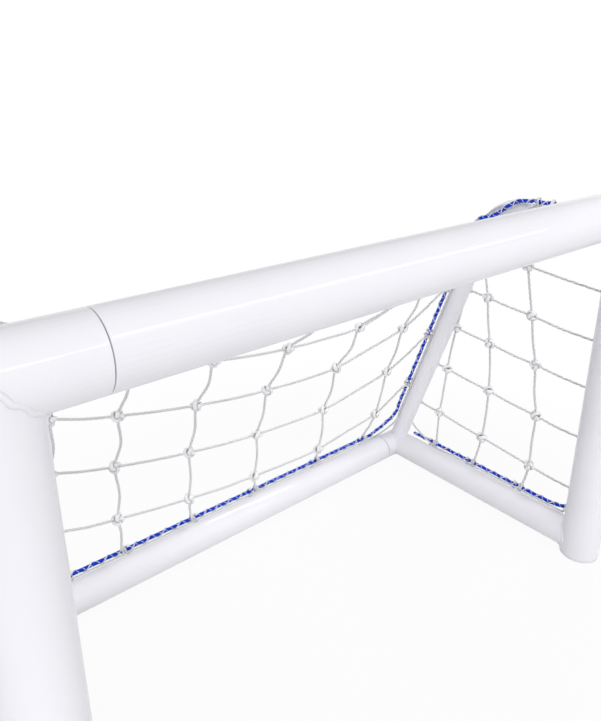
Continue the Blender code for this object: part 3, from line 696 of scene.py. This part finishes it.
def mitre_loop(centre, radius, long_axis, short_axis):
    """The oval where two equal tubes meet at a mitre, its outer tip drawn in flush."""
    reach = radius * sqrt(2)
    points = []
    for a in turns(72):
        along = reach * cos(a) - WELD_TIP_GRIND * max(0.0, cos(a)) ** 8
        points.append(Vector(centre) + Vector(long_axis) * along
                      + Vector(short_axis) * (radius * sin(a)))
    return points


def front_loop(hand, radius, z, count):
    """Where a level tube meets the front frame, on the post or, over the mitre, the crossbar."""
    points = []
    for a in turns(count):
        dx, dz = radius * cos(a), z - Z_BAR + radius * sin(a)
        offset = dx if dz < dx * hand else dz
        y = Y_FRONT + sqrt(FRONT_R ** 2 - offset ** 2)
        points.append(Vector((hand * X_POST + dx, y, Z_BAR + dz)))
    return points


def upright_loop(hand):
    """Where the hoop stands on the rear corner."""
    up = Vector((0, -sin(HOOP_LEAN), cos(HOOP_LEAN)))
    out = Vector((0, cos(HOOP_LEAN), sin(HOOP_LEAN)))
    corner = Vector((hand * X_POST, Y_REAR, Z_GROUND))
    points = []
    for a in turns(48):
        offset = Vector((HOOP_R * cos(a), 0, 0)) + out * (HOOP_R * sin(a))
        height = sqrt(GROUND_R ** 2 - offset.x ** 2)
        point = offset + up * ((height - offset.z) / up.z)
        if point.y > point.x * hand:
            b = offset.y * up.y + offset.z * up.z
            c = offset.y ** 2 + offset.z ** 2 - GROUND_R ** 2
            point = offset + up * (-b + sqrt(b * b - c))
        points.append(corner + point)
    return points


def weld_bead(name, loop, radius, mat, seed):
    """A closed bead with the ripples of a hand-run weld, painted over."""
    rng = random.Random(seed)
    bm = bmesh.new()
    centre = sum(loop, Vector()) / len(loop)
    rings = []
    for k, point in enumerate(loop):
        tangent = (loop[(k + 1) % len(loop)] - loop[k - 1]).normalized()
        away = point - centre
        away = (away - tangent * away.dot(tangent)).normalized()
        cross = tangent.cross(away)
        r = radius * (1 + rng.uniform(-WELD_UNEVEN, WELD_UNEVEN))
        weave = radius * WELD_WEAVE * sin(k * WELD_WEAVE_TURN)
        ring = add_ring(bm, point + cross * weave, cross, away, r, 8, WELD_FLATNESS)
        for vert in ring:
            vert.co.z = max(vert.co.z, 0.0)     # ground flush under the frame
        rings.append(ring)
    add_skin(bm, rings, closed=True)
    bmesh.ops.recalc_face_normals(bm, faces=bm.faces)
    piece_from(bm, name, [mat])


class GOAL_OT_welds(bpy.types.Operator):
    """Run a painted weld bead round every fixed joint of the frame"""
    bl_idname = "goal.welds"
    bl_label = "Weld beads"

    def execute(self, context):
        settings = settings_of("frame")
        paint = bpy.data.materials["white_powder_coat_paint"]
        diagonal = sqrt(0.5)
        for hand, tag in HANDS:
            front = (hand * X_POST, Y_FRONT, Z_BAR)
            rear = (hand * X_POST, Y_REAR, Z_GROUND)
            loops = {
                "post_corner": mitre_loop(front, FRONT_R, (hand * diagonal, 0, diagonal),
                                          (0, 1, 0)),
                "rear_corner": mitre_loop(rear, GROUND_R, (hand * diagonal, diagonal, 0),
                                          (0, 0, 1)),
                "top_run": front_loop(hand, HOOP_R, Z_RUN, 48),
                "side_tube": front_loop(hand, GROUND_R, Z_GROUND, 60),
                "upright": upright_loop(hand),
            }
            for k, (place, loop) in enumerate(loops.items()):
                weld_bead(f"weld_{place}_{tag}", loop, settings.weld_radius, paint, 10 * k + hand)
        return {'FINISHED'}


# The net

def back_knot(row, x):
    """A knot of the back net: the free curve, drawn up towards the ties on both hoops."""
    depth, height, at = row
    tie = hoop_station(at, 1, ROPE_TURN).border()
    lift = exp(-(tie.x - x) / LIFT_RIGHT) + exp(-(tie.x + x) / LIFT_LEFT)
    draw = exp(-(tie.x - x) / LIFT_RIGHT) + exp(-(tie.x + x) / DRAW_LEFT)
    y = Y_FRONT + depth * AXIS_DEPTH
    z = height * Z_BAR
    return Vector((x, y + (tie.y - y) * draw, z + (tie.z - z) * lift))


def hitch(station, radius):
    """The last turns of a cord: in front of the rope, under it, up behind and over."""
    centre = station.at(ROPE_RISE)
    reach = HITCH_REACH + radius
    points = [centre + station.netward * (reach + HITCH_OUT) + station.radial * HITCH_UP]
    for k in range(16):
        a = -2 * pi * k / 12
        points.append(centre + station.netward * (reach * cos(a))
                      + station.radial * (reach * sin(a))
                      + station.along * (HITCH_ADVANCE * k / 12))
    return points


def bowed(points, amount, seed, lean=0.0):
    """Points with a slack one between each pair, so that the cord wanders a little."""
    rng = random.Random(seed)
    out = [points[0]]
    for a, b in zip(points, points[1:]):
        span = (b - a).length
        if span > SLACK_SPAN:
            drift = Vector((lean + rng.uniform(-1, 1) * (1 - lean / 2),
                            rng.uniform(-0.4, 0.4), -0.6))
            out.append((a + b) / 2 + drift * (amount * span))
        out.append(b)
    return out


def tied_cord(start, knots, end, bow, seed, lean=0.0):
    """A net cord from its turns at one end, past its knots, to its turns at the other."""
    between = bowed([start[0], *knots, end[0]], bow, seed, lean)[1:-1]
    return smooth_path([*reversed(start), *between, *end], CORD_STEP)


def cord_piece(name, lines, radius, mat, settings, replaced=()):
    """One piece of laid net cord along every line."""
    bm, uv = new_cords()
    for line in lines:
        add_laid_cord(bm, uv, line, radius, settings.twist_pitch)
    piece_from(bm, name, [mat], replaced)


def add_knot(bm, uv, place, matrix, settings):
    """An overhand knot pulled tight: two turns of cord that cross three times."""
    radius = settings.knot_radius
    path = []
    for t in turns(KNOT_STEPS):
        reach = radius + 0.6 * radius * cos(3 * t)
        path.append(matrix @ Vector((reach * cos(2 * t), reach * sin(2 * t),
                                     1.05 * radius * sin(3 * t))))
    rings = []
    for k, point in enumerate(path):
        tangent = (path[(k + 1) % KNOT_STEPS] - path[k - 1]).normalized()
        away = (point - tangent * point.dot(tangent)).normalized()
        # Each ring starts on the side away from the knot's middle, so the cord's painted groove
        # shade falls on the turns' inner sides
        rings.append(add_ring(bm, place + point, away, tangent.cross(away),
                              settings.cord_radius * KNOT_SWELL, 6))
    along = [k * KNOT_STEP for k in range(KNOT_STEPS + 1)]
    add_skin(bm, rings, uv, along, closed=True)


def knot_piece(name, places, mat, settings):
    """One piece that holds every knot of a net panel, each turned its own way."""
    bm, uv = new_cords()
    rng = random.Random(len(places))
    for place, normal in places:
        turn = Vector(normal).to_track_quat('Z', 'Y').to_matrix()
        spin = Matrix.Rotation(rng.uniform(0, 2 * pi), 3, 'Z')
        lean = Matrix.Rotation(rng.uniform(-KNOT_LEAN, KNOT_LEAN), 3, 'X')
        add_knot(bm, uv, place, turn @ lean @ spin, settings)
    piece_from(bm, name, [mat])


def net_panel(part, lines, knots, border, settings):
    """The three pieces of a net panel: its cords, its knots and its edge cord."""
    mat = bpy.data.materials.get(NET_CORD) or twisted_cord(settings)
    cord_piece(f"net_{part}_cords", lines, settings.cord_radius, mat, settings, (f"net_{part}",))
    knot_piece(f"net_{part}_knots", knots, mat, settings)
    cord_piece(f"net_{part}_border", [border], settings.selvedge_radius, mat, settings)


def back_border():
    """The edge cord: rear bar, right hoop, behind the crossbar and down the left hoop."""
    stations = [0.114, 0.18, 0.303, 0.544, 0.754, 0.954]
    stations += [1.0 + k / 8 for k in range(9)] + [2.160, 2.560]
    left, right = ([hoop_station(at, hand, ROPE_TURN).border() for at in stations]
                   for hand in (-1, 1))
    bar = [bar_station(x).border() for x in (-CORNER_REACH, *COLUMNS, CORNER_REACH)]
    distance = FRONT_R + SELVEDGE_RISE
    drop = radians(20)
    cross = [Vector((x, Y_FRONT + distance * cos(drop), Z_BAR - distance * sin(drop)))
             for x in (0.515, 0.46, 0.0, -0.46, -0.515)]
    close = bar[0] + Vector((0.002, 0, 0))
    return smooth_path([*bar, *right, *cross, *reversed(left), close], CORD_STEP)


class GOAL_OT_back_net(bpy.types.Operator):
    """Knot the back net from its rows and columns of cord and tie them to the border rope"""
    bl_idname = "goal.back_net"
    bl_label = "Back net"

    def execute(self, context):
        settings = settings_of("net")
        r = settings.cord_radius
        lines = []
        for i, row in enumerate(BACK_ROWS):
            left, right = (hitch(hoop_station(row[2], hand, ROPE_TURN), r) for hand in (-1, 1))
            knots = [back_knot(row, x) for x in COLUMNS]
            lines.append(tied_cord(left, knots, right, BACK_SLACK[0], 40 + i))
        for j, x in enumerate(COLUMNS):
            knots = [back_knot(row, x) for row in BACK_ROWS]
            low, high = hitch(bar_station(x), r), hitch(crossbar_station(x), r)
            lines.append(tied_cord(low, knots, high, BACK_SLACK[1], 80 + j, 1.0))
        places = [(back_knot(row, x), (0, 0.8, 0.6)) for row in BACK_ROWS for x in COLUMNS]
        net_panel("back", lines, places, back_border(), settings)
        return {'FINISHED'}


def side_point(hand, depth, height):
    """A point of a side net's plane, a little nearer the frame at its foot."""
    t = min(max((height - SIDE_LOW) / (GROUND_R * 2.5), 0.0), 1.0)
    out = SIDE_OUT_LOW + (SIDE_OUT - SIDE_OUT_LOW) * t
    return Vector((hand * (X_POST + out), Y_FRONT + depth, height))


def side_row(share, depth):
    """Height of a row of a side net at a depth; the rows rise towards the hoop."""
    return share * Z_BAR + SIDE_TILT * (depth - SIDE_TILT_FROM * AXIS_DEPTH)


def side_knot(hand, share, column):
    """Where a row and a column of a side net cross, found in a few rounds."""
    foot, head, bow, top, skew, _count = column
    height = share * Z_BAR
    for _ in range(4):
        t = (height - SIDE_LOW) / (top * Z_BAR - SIDE_LOW)
        curve = bow * 4 * t * (1 - t) * (1 + skew * (1 - 2 * t))
        depth = (foot + (head - foot) * t + curve) * AXIS_DEPTH
        height = side_row(share, depth)
    return side_point(hand, depth, height)


def side_hoop_point(hand, height):
    at = (height - Z_GROUND) / cos(HOOP_LEAN) / UPRIGHT_RUN
    return hoop_station(at, hand, OUTWARD).at(SELVEDGE_RISE)


def side_hoop_tie(hand, share):
    """Where a row of a side net meets the upright."""
    fall = tan(HOOP_LEAN)
    at_floor = side_row(share, AXIS_DEPTH + Z_GROUND * fall)
    return side_hoop_point(hand, at_floor / (1 + SIDE_TILT * fall))


def side_panel(hand, r):
    """The lines of a side net's cords, and the places and normals of its knots."""
    knots = {(k, c): side_knot(hand, SIDE_ROWS[k], column)
             for c, column in enumerate(SIDE_COLUMNS) for k in range(column[-1])}
    ties = [side_hoop_tie(hand, share) for share in SIDE_ROWS]
    lines = []
    for k, share in enumerate(SIDE_ROWS):
        start = hitch(post_station(side_row(share, POST_TIE_DEPTH), hand), r)
        row = [knots[k, c] for c in range(3) if (k, c) in knots]
        lines.append(tied_cord(start, row, [ties[k]], SIDE_SLACK[0], 120 + k))
    tops = [hoop_station(1.90, hand, OUTWARD).at(SELVEDGE_RISE), ties[4], ties[3]]
    for c, column in enumerate(SIDE_COLUMNS):
        start = hitch(side_station(Y_FRONT + column[0] * AXIS_DEPTH, hand), r)
        line = [knots[k, c] for k in range(column[-1])]
        lines.append(tied_cord(start, line, [tops[c]], SIDE_SLACK[1], 140 + c))
    places = [(point, (hand, 0.1, 0.1)) for point in knots.values()]
    return lines, places + [(tie, (hand, 0, 0)) for tie in ties]


def side_border(hand):
    """The edge cord of a side net, once round its four sides."""
    low = [side_point(hand, depth, SIDE_LOW) for depth in (0.058, 0.09, 0.25, 0.37, 0.43)]
    heel = side_hoop_point(hand, Z_GROUND * 3.3)
    ups = [0.2, 0.4, 0.6, 0.8, 1.0, 1.2, 1.4, 1.6, 1.8, 2.0, 2.3, 2.53]
    ups = [hoop_station(at, hand, OUTWARD).at(SELVEDGE_RISE) for at in ups]
    top = Z_BAR - FRONT_R * 1.475
    down = [side_point(hand, POST_TIE_DEPTH, z) for z in (top, 0.4, 0.2, 0.1)]
    close = low[0] + Vector((0, 0, 0.003))
    return smooth_path([*low, heel, *ups, *down, close], CORD_STEP)


class GOAL_OT_side_nets(bpy.types.Operator):
    """Knot both side nets between post, ground tube and hoop"""
    bl_idname = "goal.side_nets"
    bl_label = "Side nets"

    def execute(self, context):
        settings = settings_of("net")
        for hand, tag in HANDS:
            net_panel(tag, *side_panel(hand, settings.cord_radius), side_border(hand), settings)
        return {'FINISHED'}


# The rope

def back_rope_path():
    """Down the left hoop, along the rear bar and up the right hoop."""
    stations = [0.14, 0.21, 0.30, 0.55, 0.75, 0.95]
    stations += [1.0 + k / 10 for k in range(11)]
    stations += [2.14, 2.40, 2.60]
    left, right = ([hoop_station(at, hand).at(ROPE_RISE) for at in stations] for hand in (-1, 1))
    bar = [bar_station(ROPE_CORNER * share).at(ROPE_RISE)
           for share in (-1.0, -0.94, 0.0, 0.94, 1.0)]
    return [*reversed(left), *bar, *right]


def side_rope_path(hand):
    """Along the side ground tube, round the corner and up the post."""
    low = side_station(Y_FRONT + FRONT_R * 2.25, hand).at(ROPE_RISE)
    last = side_station(Y_REAR - GROUND_R * 1.22, hand).at(ROPE_RISE)
    post = post_station(low.z, hand).at(ROPE_RISE)
    high = post + Vector((0, 0, FRONT_R * 1.46))
    corner = [low * (1 - t) ** 2 + post * 2 * t * (1 - t) + high * t ** 2
              for t in (k / 6 for k in range(7))]
    ups = [post_station(z, hand).at(ROPE_RISE) for z in (Z_BAR / 2, Z_BAR - FRONT_R * 1.25)]
    return [last, (last + low) / 2, *corner, *ups]


def crossbar_rope_path():
    return [crossbar_station(x).at(ROPE_RISE) for x in (-CORNER_REACH, 0.0, CORNER_REACH)]


def wound(line, frames, reach, pitch, wander, turn=0.0):
    """The line moved out by a reach and wound, once each pitch, with a wander in the lay."""
    points = []
    for point, (_tangent, side, up), at in zip(line, frames, distances(line)):
        uneven = sum(size * sin(at * rate) for size, rate in wander)
        a = turn + 2 * pi * at / pitch + uneven
        points.append(point + (side * cos(a) + up * sin(a)) * reach)
    return points


def add_rope(bm, uv, path, settings):
    """Blue strands and a white one wound round the path, and white cord laced over them."""
    line = smooth_path(path, ROPE_STEP)
    frames = path_frames(line)
    for s, turn in enumerate(turns(STRANDS)):
        white = s == STRANDS - 1
        strand = wound(line, frames, settings.lay_radius, settings.pitch, LAY_WANDER, turn)
        add_cord(bm, uv, strand, settings.strand_radius * (0.95 if white else 1.0), int(white))
    reach = settings.lay_radius + settings.strand_radius + settings.lacing_radius * 0.6
    lacing = wound(line, frames, reach, -settings.lacing_pitch, LACING_WANDER)
    add_cord(bm, uv, lacing, settings.lacing_radius, 1)


class GOAL_OT_border_ropes(bpy.types.Operator):
    """Lay the blue and white border ropes along the frame"""
    bl_idname = "goal.border_ropes"
    bl_label = "Border ropes"

    def execute(self, context):
        settings = settings_of("rope")
        blue = fibre_strand("blue_split_film_yarn", settings.blue_hex, settings.blue_shade_hex)
        white = fibre_strand("white_split_film_yarn", settings.white_hex, "#C4C4CA")
        ropes = {
            "border_rope_back": back_rope_path(),
            "border_rope_left": side_rope_path(-1),
            "border_rope_right": side_rope_path(1),
            "border_rope_crossbar": crossbar_rope_path(),
        }
        for node, path in ropes.items():
            bm, uv = new_cords()
            add_rope(bm, uv, path, settings)
            piece_from(bm, node + "_laid", [blue, white], (node,))
        return {'FINISHED'}


# Hooks, caps and push joints

def soften(obj):
    """Round every edge a little, as a mould does."""
    only(obj)
    bevel = obj.modifiers.new("Edges", 'BEVEL')
    bevel.width = MOULDED_EDGE
    bevel.segments = 2
    bevel.limit_method = 'ANGLE'
    bevel.angle_limit = radians(40)
    bpy.ops.object.modifier_apply(modifier=bevel.name)
    bpy.ops.object.shade_smooth_by_angle(angle=radians(50))


class GOAL_OT_net_hooks(bpy.types.Operator):
    """Soften the edges of the hooks, and give the hooks and foot caps their plastic"""
    bl_idname = "goal.net_hooks"
    bl_label = "Hooks and foot caps"

    def execute(self, context):
        mat = moulded_plastic(settings_of("frame"))
        for node in sorted(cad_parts):
            if node.startswith("net_hook"):
                soften(merged_copy(node, "moulded", mat))
            elif node.startswith("foot_cap"):
                merged_copy(node, "moulded", mat, 35.0)
        return {'FINISHED'}


def bend_leaf(obj):
    """Free the leaf from its parent and bake its place into its mesh."""
    obj.parent = None
    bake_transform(obj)


class GOAL_OT_push_joints(bpy.types.Operator):
    """Plate the spigots, snap buttons and leaf springs inside the push joints"""
    bl_idname = "goal.push_joints"
    bl_label = "Push joints"

    def execute(self, context):
        zinc = plated_steel("zinc_plated_steel_tube", "#C6C8CC", 0.34, 0.012)
        spring = plated_steel("rolled_spring_steel", "#8E9095", 0.30, 0.004)
        for node in sorted(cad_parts):
            if node.startswith("spigot"):
                merged_copy(node, "plated", zinc)
            elif node.startswith("snap_button"):
                merged_copy(node, "plated", zinc, 40.0, node)
            elif node.startswith("leaf_spring"):
                bend_leaf(merged_copy(node, "rolled", spring, 20.0))
        return {'FINISHED'}


# The studio

def studio_floor():
    """White paper floor: the camera sees it almost white, with a faint shadow left."""
    bpy.ops.object.select_all(action='DESELECT')
    bpy.ops.mesh.primitive_plane_add(size=2.6, location=(0, 0, -0.0005))
    floor = bpy.context.active_object
    floor.name = "studio_floor"
    mat, tree, shader = new_material("white_paper_floor", "#D2D2D2", 0.9)
    glow = add_node(tree, "ShaderNodeEmission", {"Color": WHITE, "Strength": 1.0})
    camera, clear = seen_directly(tree)
    seen = add_node(tree, "ShaderNodeMath", {0: camera, 1: clear}, operation='MAXIMUM')
    # The paper fades into the surround's plain white towards its edge
    place = add_node(tree, "ShaderNodeTexCoord")
    away = add_node(tree, "ShaderNodeVectorMath", {0: place.outputs["Object"]},
                    operation='LENGTH')
    fade = add_node(tree, "ShaderNodeMapRange",
                    {"From Min": 0.75, "From Max": 1.25, "To Min": 0.94, "To Max": 1.0,
                     "Value": away.outputs["Value"]})
    share = add_node(tree, "ShaderNodeMath",
                     {0: seen.outputs[0], 1: fade.outputs["Result"]}, operation='MULTIPLY')
    mix = add_node(tree, "ShaderNodeMixShader",
                   {0: share.outputs[0], 1: shader.outputs[0], 2: glow.outputs[0]})
    tree.links.new(mix.outputs[0], tree.nodes["Material Output"].inputs["Surface"])
    floor.data.materials.append(mat)


def seen_directly(tree):
    """Two outputs: one for rays from the camera, and one for mirrored or refracted rays."""
    ray = add_node(tree, "ShaderNodeLightPath")
    clear = add_node(tree, "ShaderNodeMath",
                     {0: ray.outputs["Is Glossy Ray"], 1: ray.outputs["Is Transmission Ray"]},
                     operation='MAXIMUM')
    return ray.outputs["Is Camera Ray"], clear.outputs[0]


def studio_sky(settings):
    """A soft surround, brightest behind the camera, and seen as plain white."""
    world = bpy.data.worlds.new("even_white_surround")
    bpy.context.scene.world = world
    world.use_nodes = True
    tree = world.node_tree
    tree.nodes.clear()
    place = add_node(tree, "ShaderNodeTexCoord").outputs["Generated"]
    facing = add_node(tree, "ShaderNodeVectorMath", {0: place, 1: (-0.57, -0.68, 0.46)},
                      operation='DOT_PRODUCT')
    level = add_node(tree, "ShaderNodeMapRange",
                     {"From Min": -0.05, "From Max": 0.50, "To Min": 0.36,
                      "To Max": settings.world_strength, "Value": facing.outputs["Value"]})
    even = add_node(tree, "ShaderNodeBackground",
                    {"Color": WHITE, "Strength": level.outputs["Result"]})
    plain = add_node(tree, "ShaderNodeBackground", {"Color": WHITE, "Strength": 1.0})
    # The camera sees white all over; gloss sees it up to ten degrees over the horizon,
    # and it fades out at fifteen
    way = add_node(tree, "ShaderNodeSeparateXYZ", {"Vector": place})
    low = add_node(tree, "ShaderNodeMapRange",
                   {"From Min": 0.26, "From Max": 0.17, "To Min": 0.0, "To Max": 1.0,
                    "Value": way.outputs["Z"]})
    camera, clear = seen_directly(tree)
    mirrored = add_node(tree, "ShaderNodeMath", {0: clear, 1: low.outputs["Result"]},
                        operation='MULTIPLY')
    share = add_node(tree, "ShaderNodeMath", {0: camera, 1: mirrored.outputs[0]},
                     operation='MAXIMUM')
    mix = add_node(tree, "ShaderNodeMixShader",
                   {0: share.outputs[0], 1: even.outputs[0], 2: plain.outputs[0]})
    add_node(tree, "ShaderNodeOutputWorld", {"Surface": mix.outputs[0]})


def studio_lamps(settings):
    """A broad softbox by the camera, and long narrow ones that draw lines on the tubes."""
    for name, place, target, width, height, power, spread in (
            ("key_softbox", (-1.8, -2.2, 1.75), (0.0, -0.1, 0.5), 2.6, 2.0,
             settings.key_power, 180),
            ("front_softbox", (1.6, -1.97, 2.16), (1.6, -0.27, 0.76), 4.2, 0.21,
             settings.front_power, 180),
            ("low_softbox", (-1.2, -1.9, 0.40), (0.1, 0.25, 0.12), 1.8, 0.5,
             settings.low_power, 46),
            ("rear_strip", (1.1, 0.63, 2.05), (0.05, 0.23, 0.05), 2.6, 0.20,
             settings.rear_power, 34)):
        data = bpy.data.lights.new(name, 'AREA')
        data.shape = 'RECTANGLE'
        data.size = width
        data.size_y = height
        data.energy = power
        data.spread = radians(spread)
        obj = add_object(name, data)
        obj.location = place
        look = Vector(target) - Vector(place)
        obj.rotation_euler = look.to_track_quat('-Z', 'Y').to_euler()


def photo_camera(settings):
    data = bpy.data.cameras.new("photo_camera")
    data.sensor_fit = 'VERTICAL'
    data.sensor_height = 36.0
    data.lens = settings.lens
    data.shift_x = settings.shift_x
    data.shift_y = settings.shift_y
    data.clip_start = 0.02
    obj = add_object("photo_camera", data)
    obj.location = settings.camera_place
    obj.rotation_euler = (pi / 2 - settings.camera_pitch, 0, -settings.camera_yaw)
    bpy.context.scene.camera = obj


class GOAL_OT_studio(bpy.types.Operator):
    """Set the white floor, the soft lights and the camera"""
    bl_idname = "goal.studio"
    bl_label = "Studio"

    def execute(self, context):
        settings = settings_of("studio")
        studio_floor()
        studio_sky(settings)
        studio_lamps(settings)
        photo_camera(settings)
        context.scene.view_settings.view_transform = 'Standard'
        return {'FINISHED'}


class GOAL_PT_panel(bpy.types.Panel):
    """Lists the steps that dress the goal"""
    bl_idname = "GOAL_PT_panel"
    bl_label = "Mini soccer goal"
    bl_space_type = 'VIEW_3D'
    bl_region_type = 'UI'
    bl_category = "Goal"

    def draw(self, context):
        for step in STEPS:
            self.layout.operator(step.bl_idname)


STEPS = (
    GOAL_OT_painted_tubes,
    GOAL_OT_welds,
    GOAL_OT_back_net,
    GOAL_OT_side_nets,
    GOAL_OT_border_ropes,
    GOAL_OT_net_hooks,
    GOAL_OT_push_joints,
    GOAL_OT_studio,
)
GROUPS = {
    "frame": GoalFrameSettings,
    "net": NetSettings,
    "rope": RopeSettings,
    "studio": StudioSettings,
}


def register():
    for name, group in GROUPS.items():
        bpy.utils.register_class(group)
        setattr(bpy.types.Scene, "goal_" + name, PointerProperty(type=group))
    for step in STEPS:
        bpy.utils.register_class(step)
    bpy.utils.register_class(GOAL_PT_panel)


def unregister():
    bpy.utils.unregister_class(GOAL_PT_panel)
    for step in reversed(STEPS):
        bpy.utils.unregister_class(step)
    for name, group in GROUPS.items():
        delattr(bpy.types.Scene, "goal_" + name)
        bpy.utils.unregister_class(group)


def main():
    register()
    bpy.ops.goal.studio()
    bpy.ops.goal.painted_tubes()
    bpy.ops.goal.welds()
    bpy.ops.goal.border_ropes()
    bpy.ops.goal.back_net()
    bpy.ops.goal.side_nets()
    bpy.ops.goal.net_hooks()
    bpy.ops.goal.push_joints()
    bpy.ops.object.select_all(action='DESELECT')


if __name__ == "__main__":
    main()
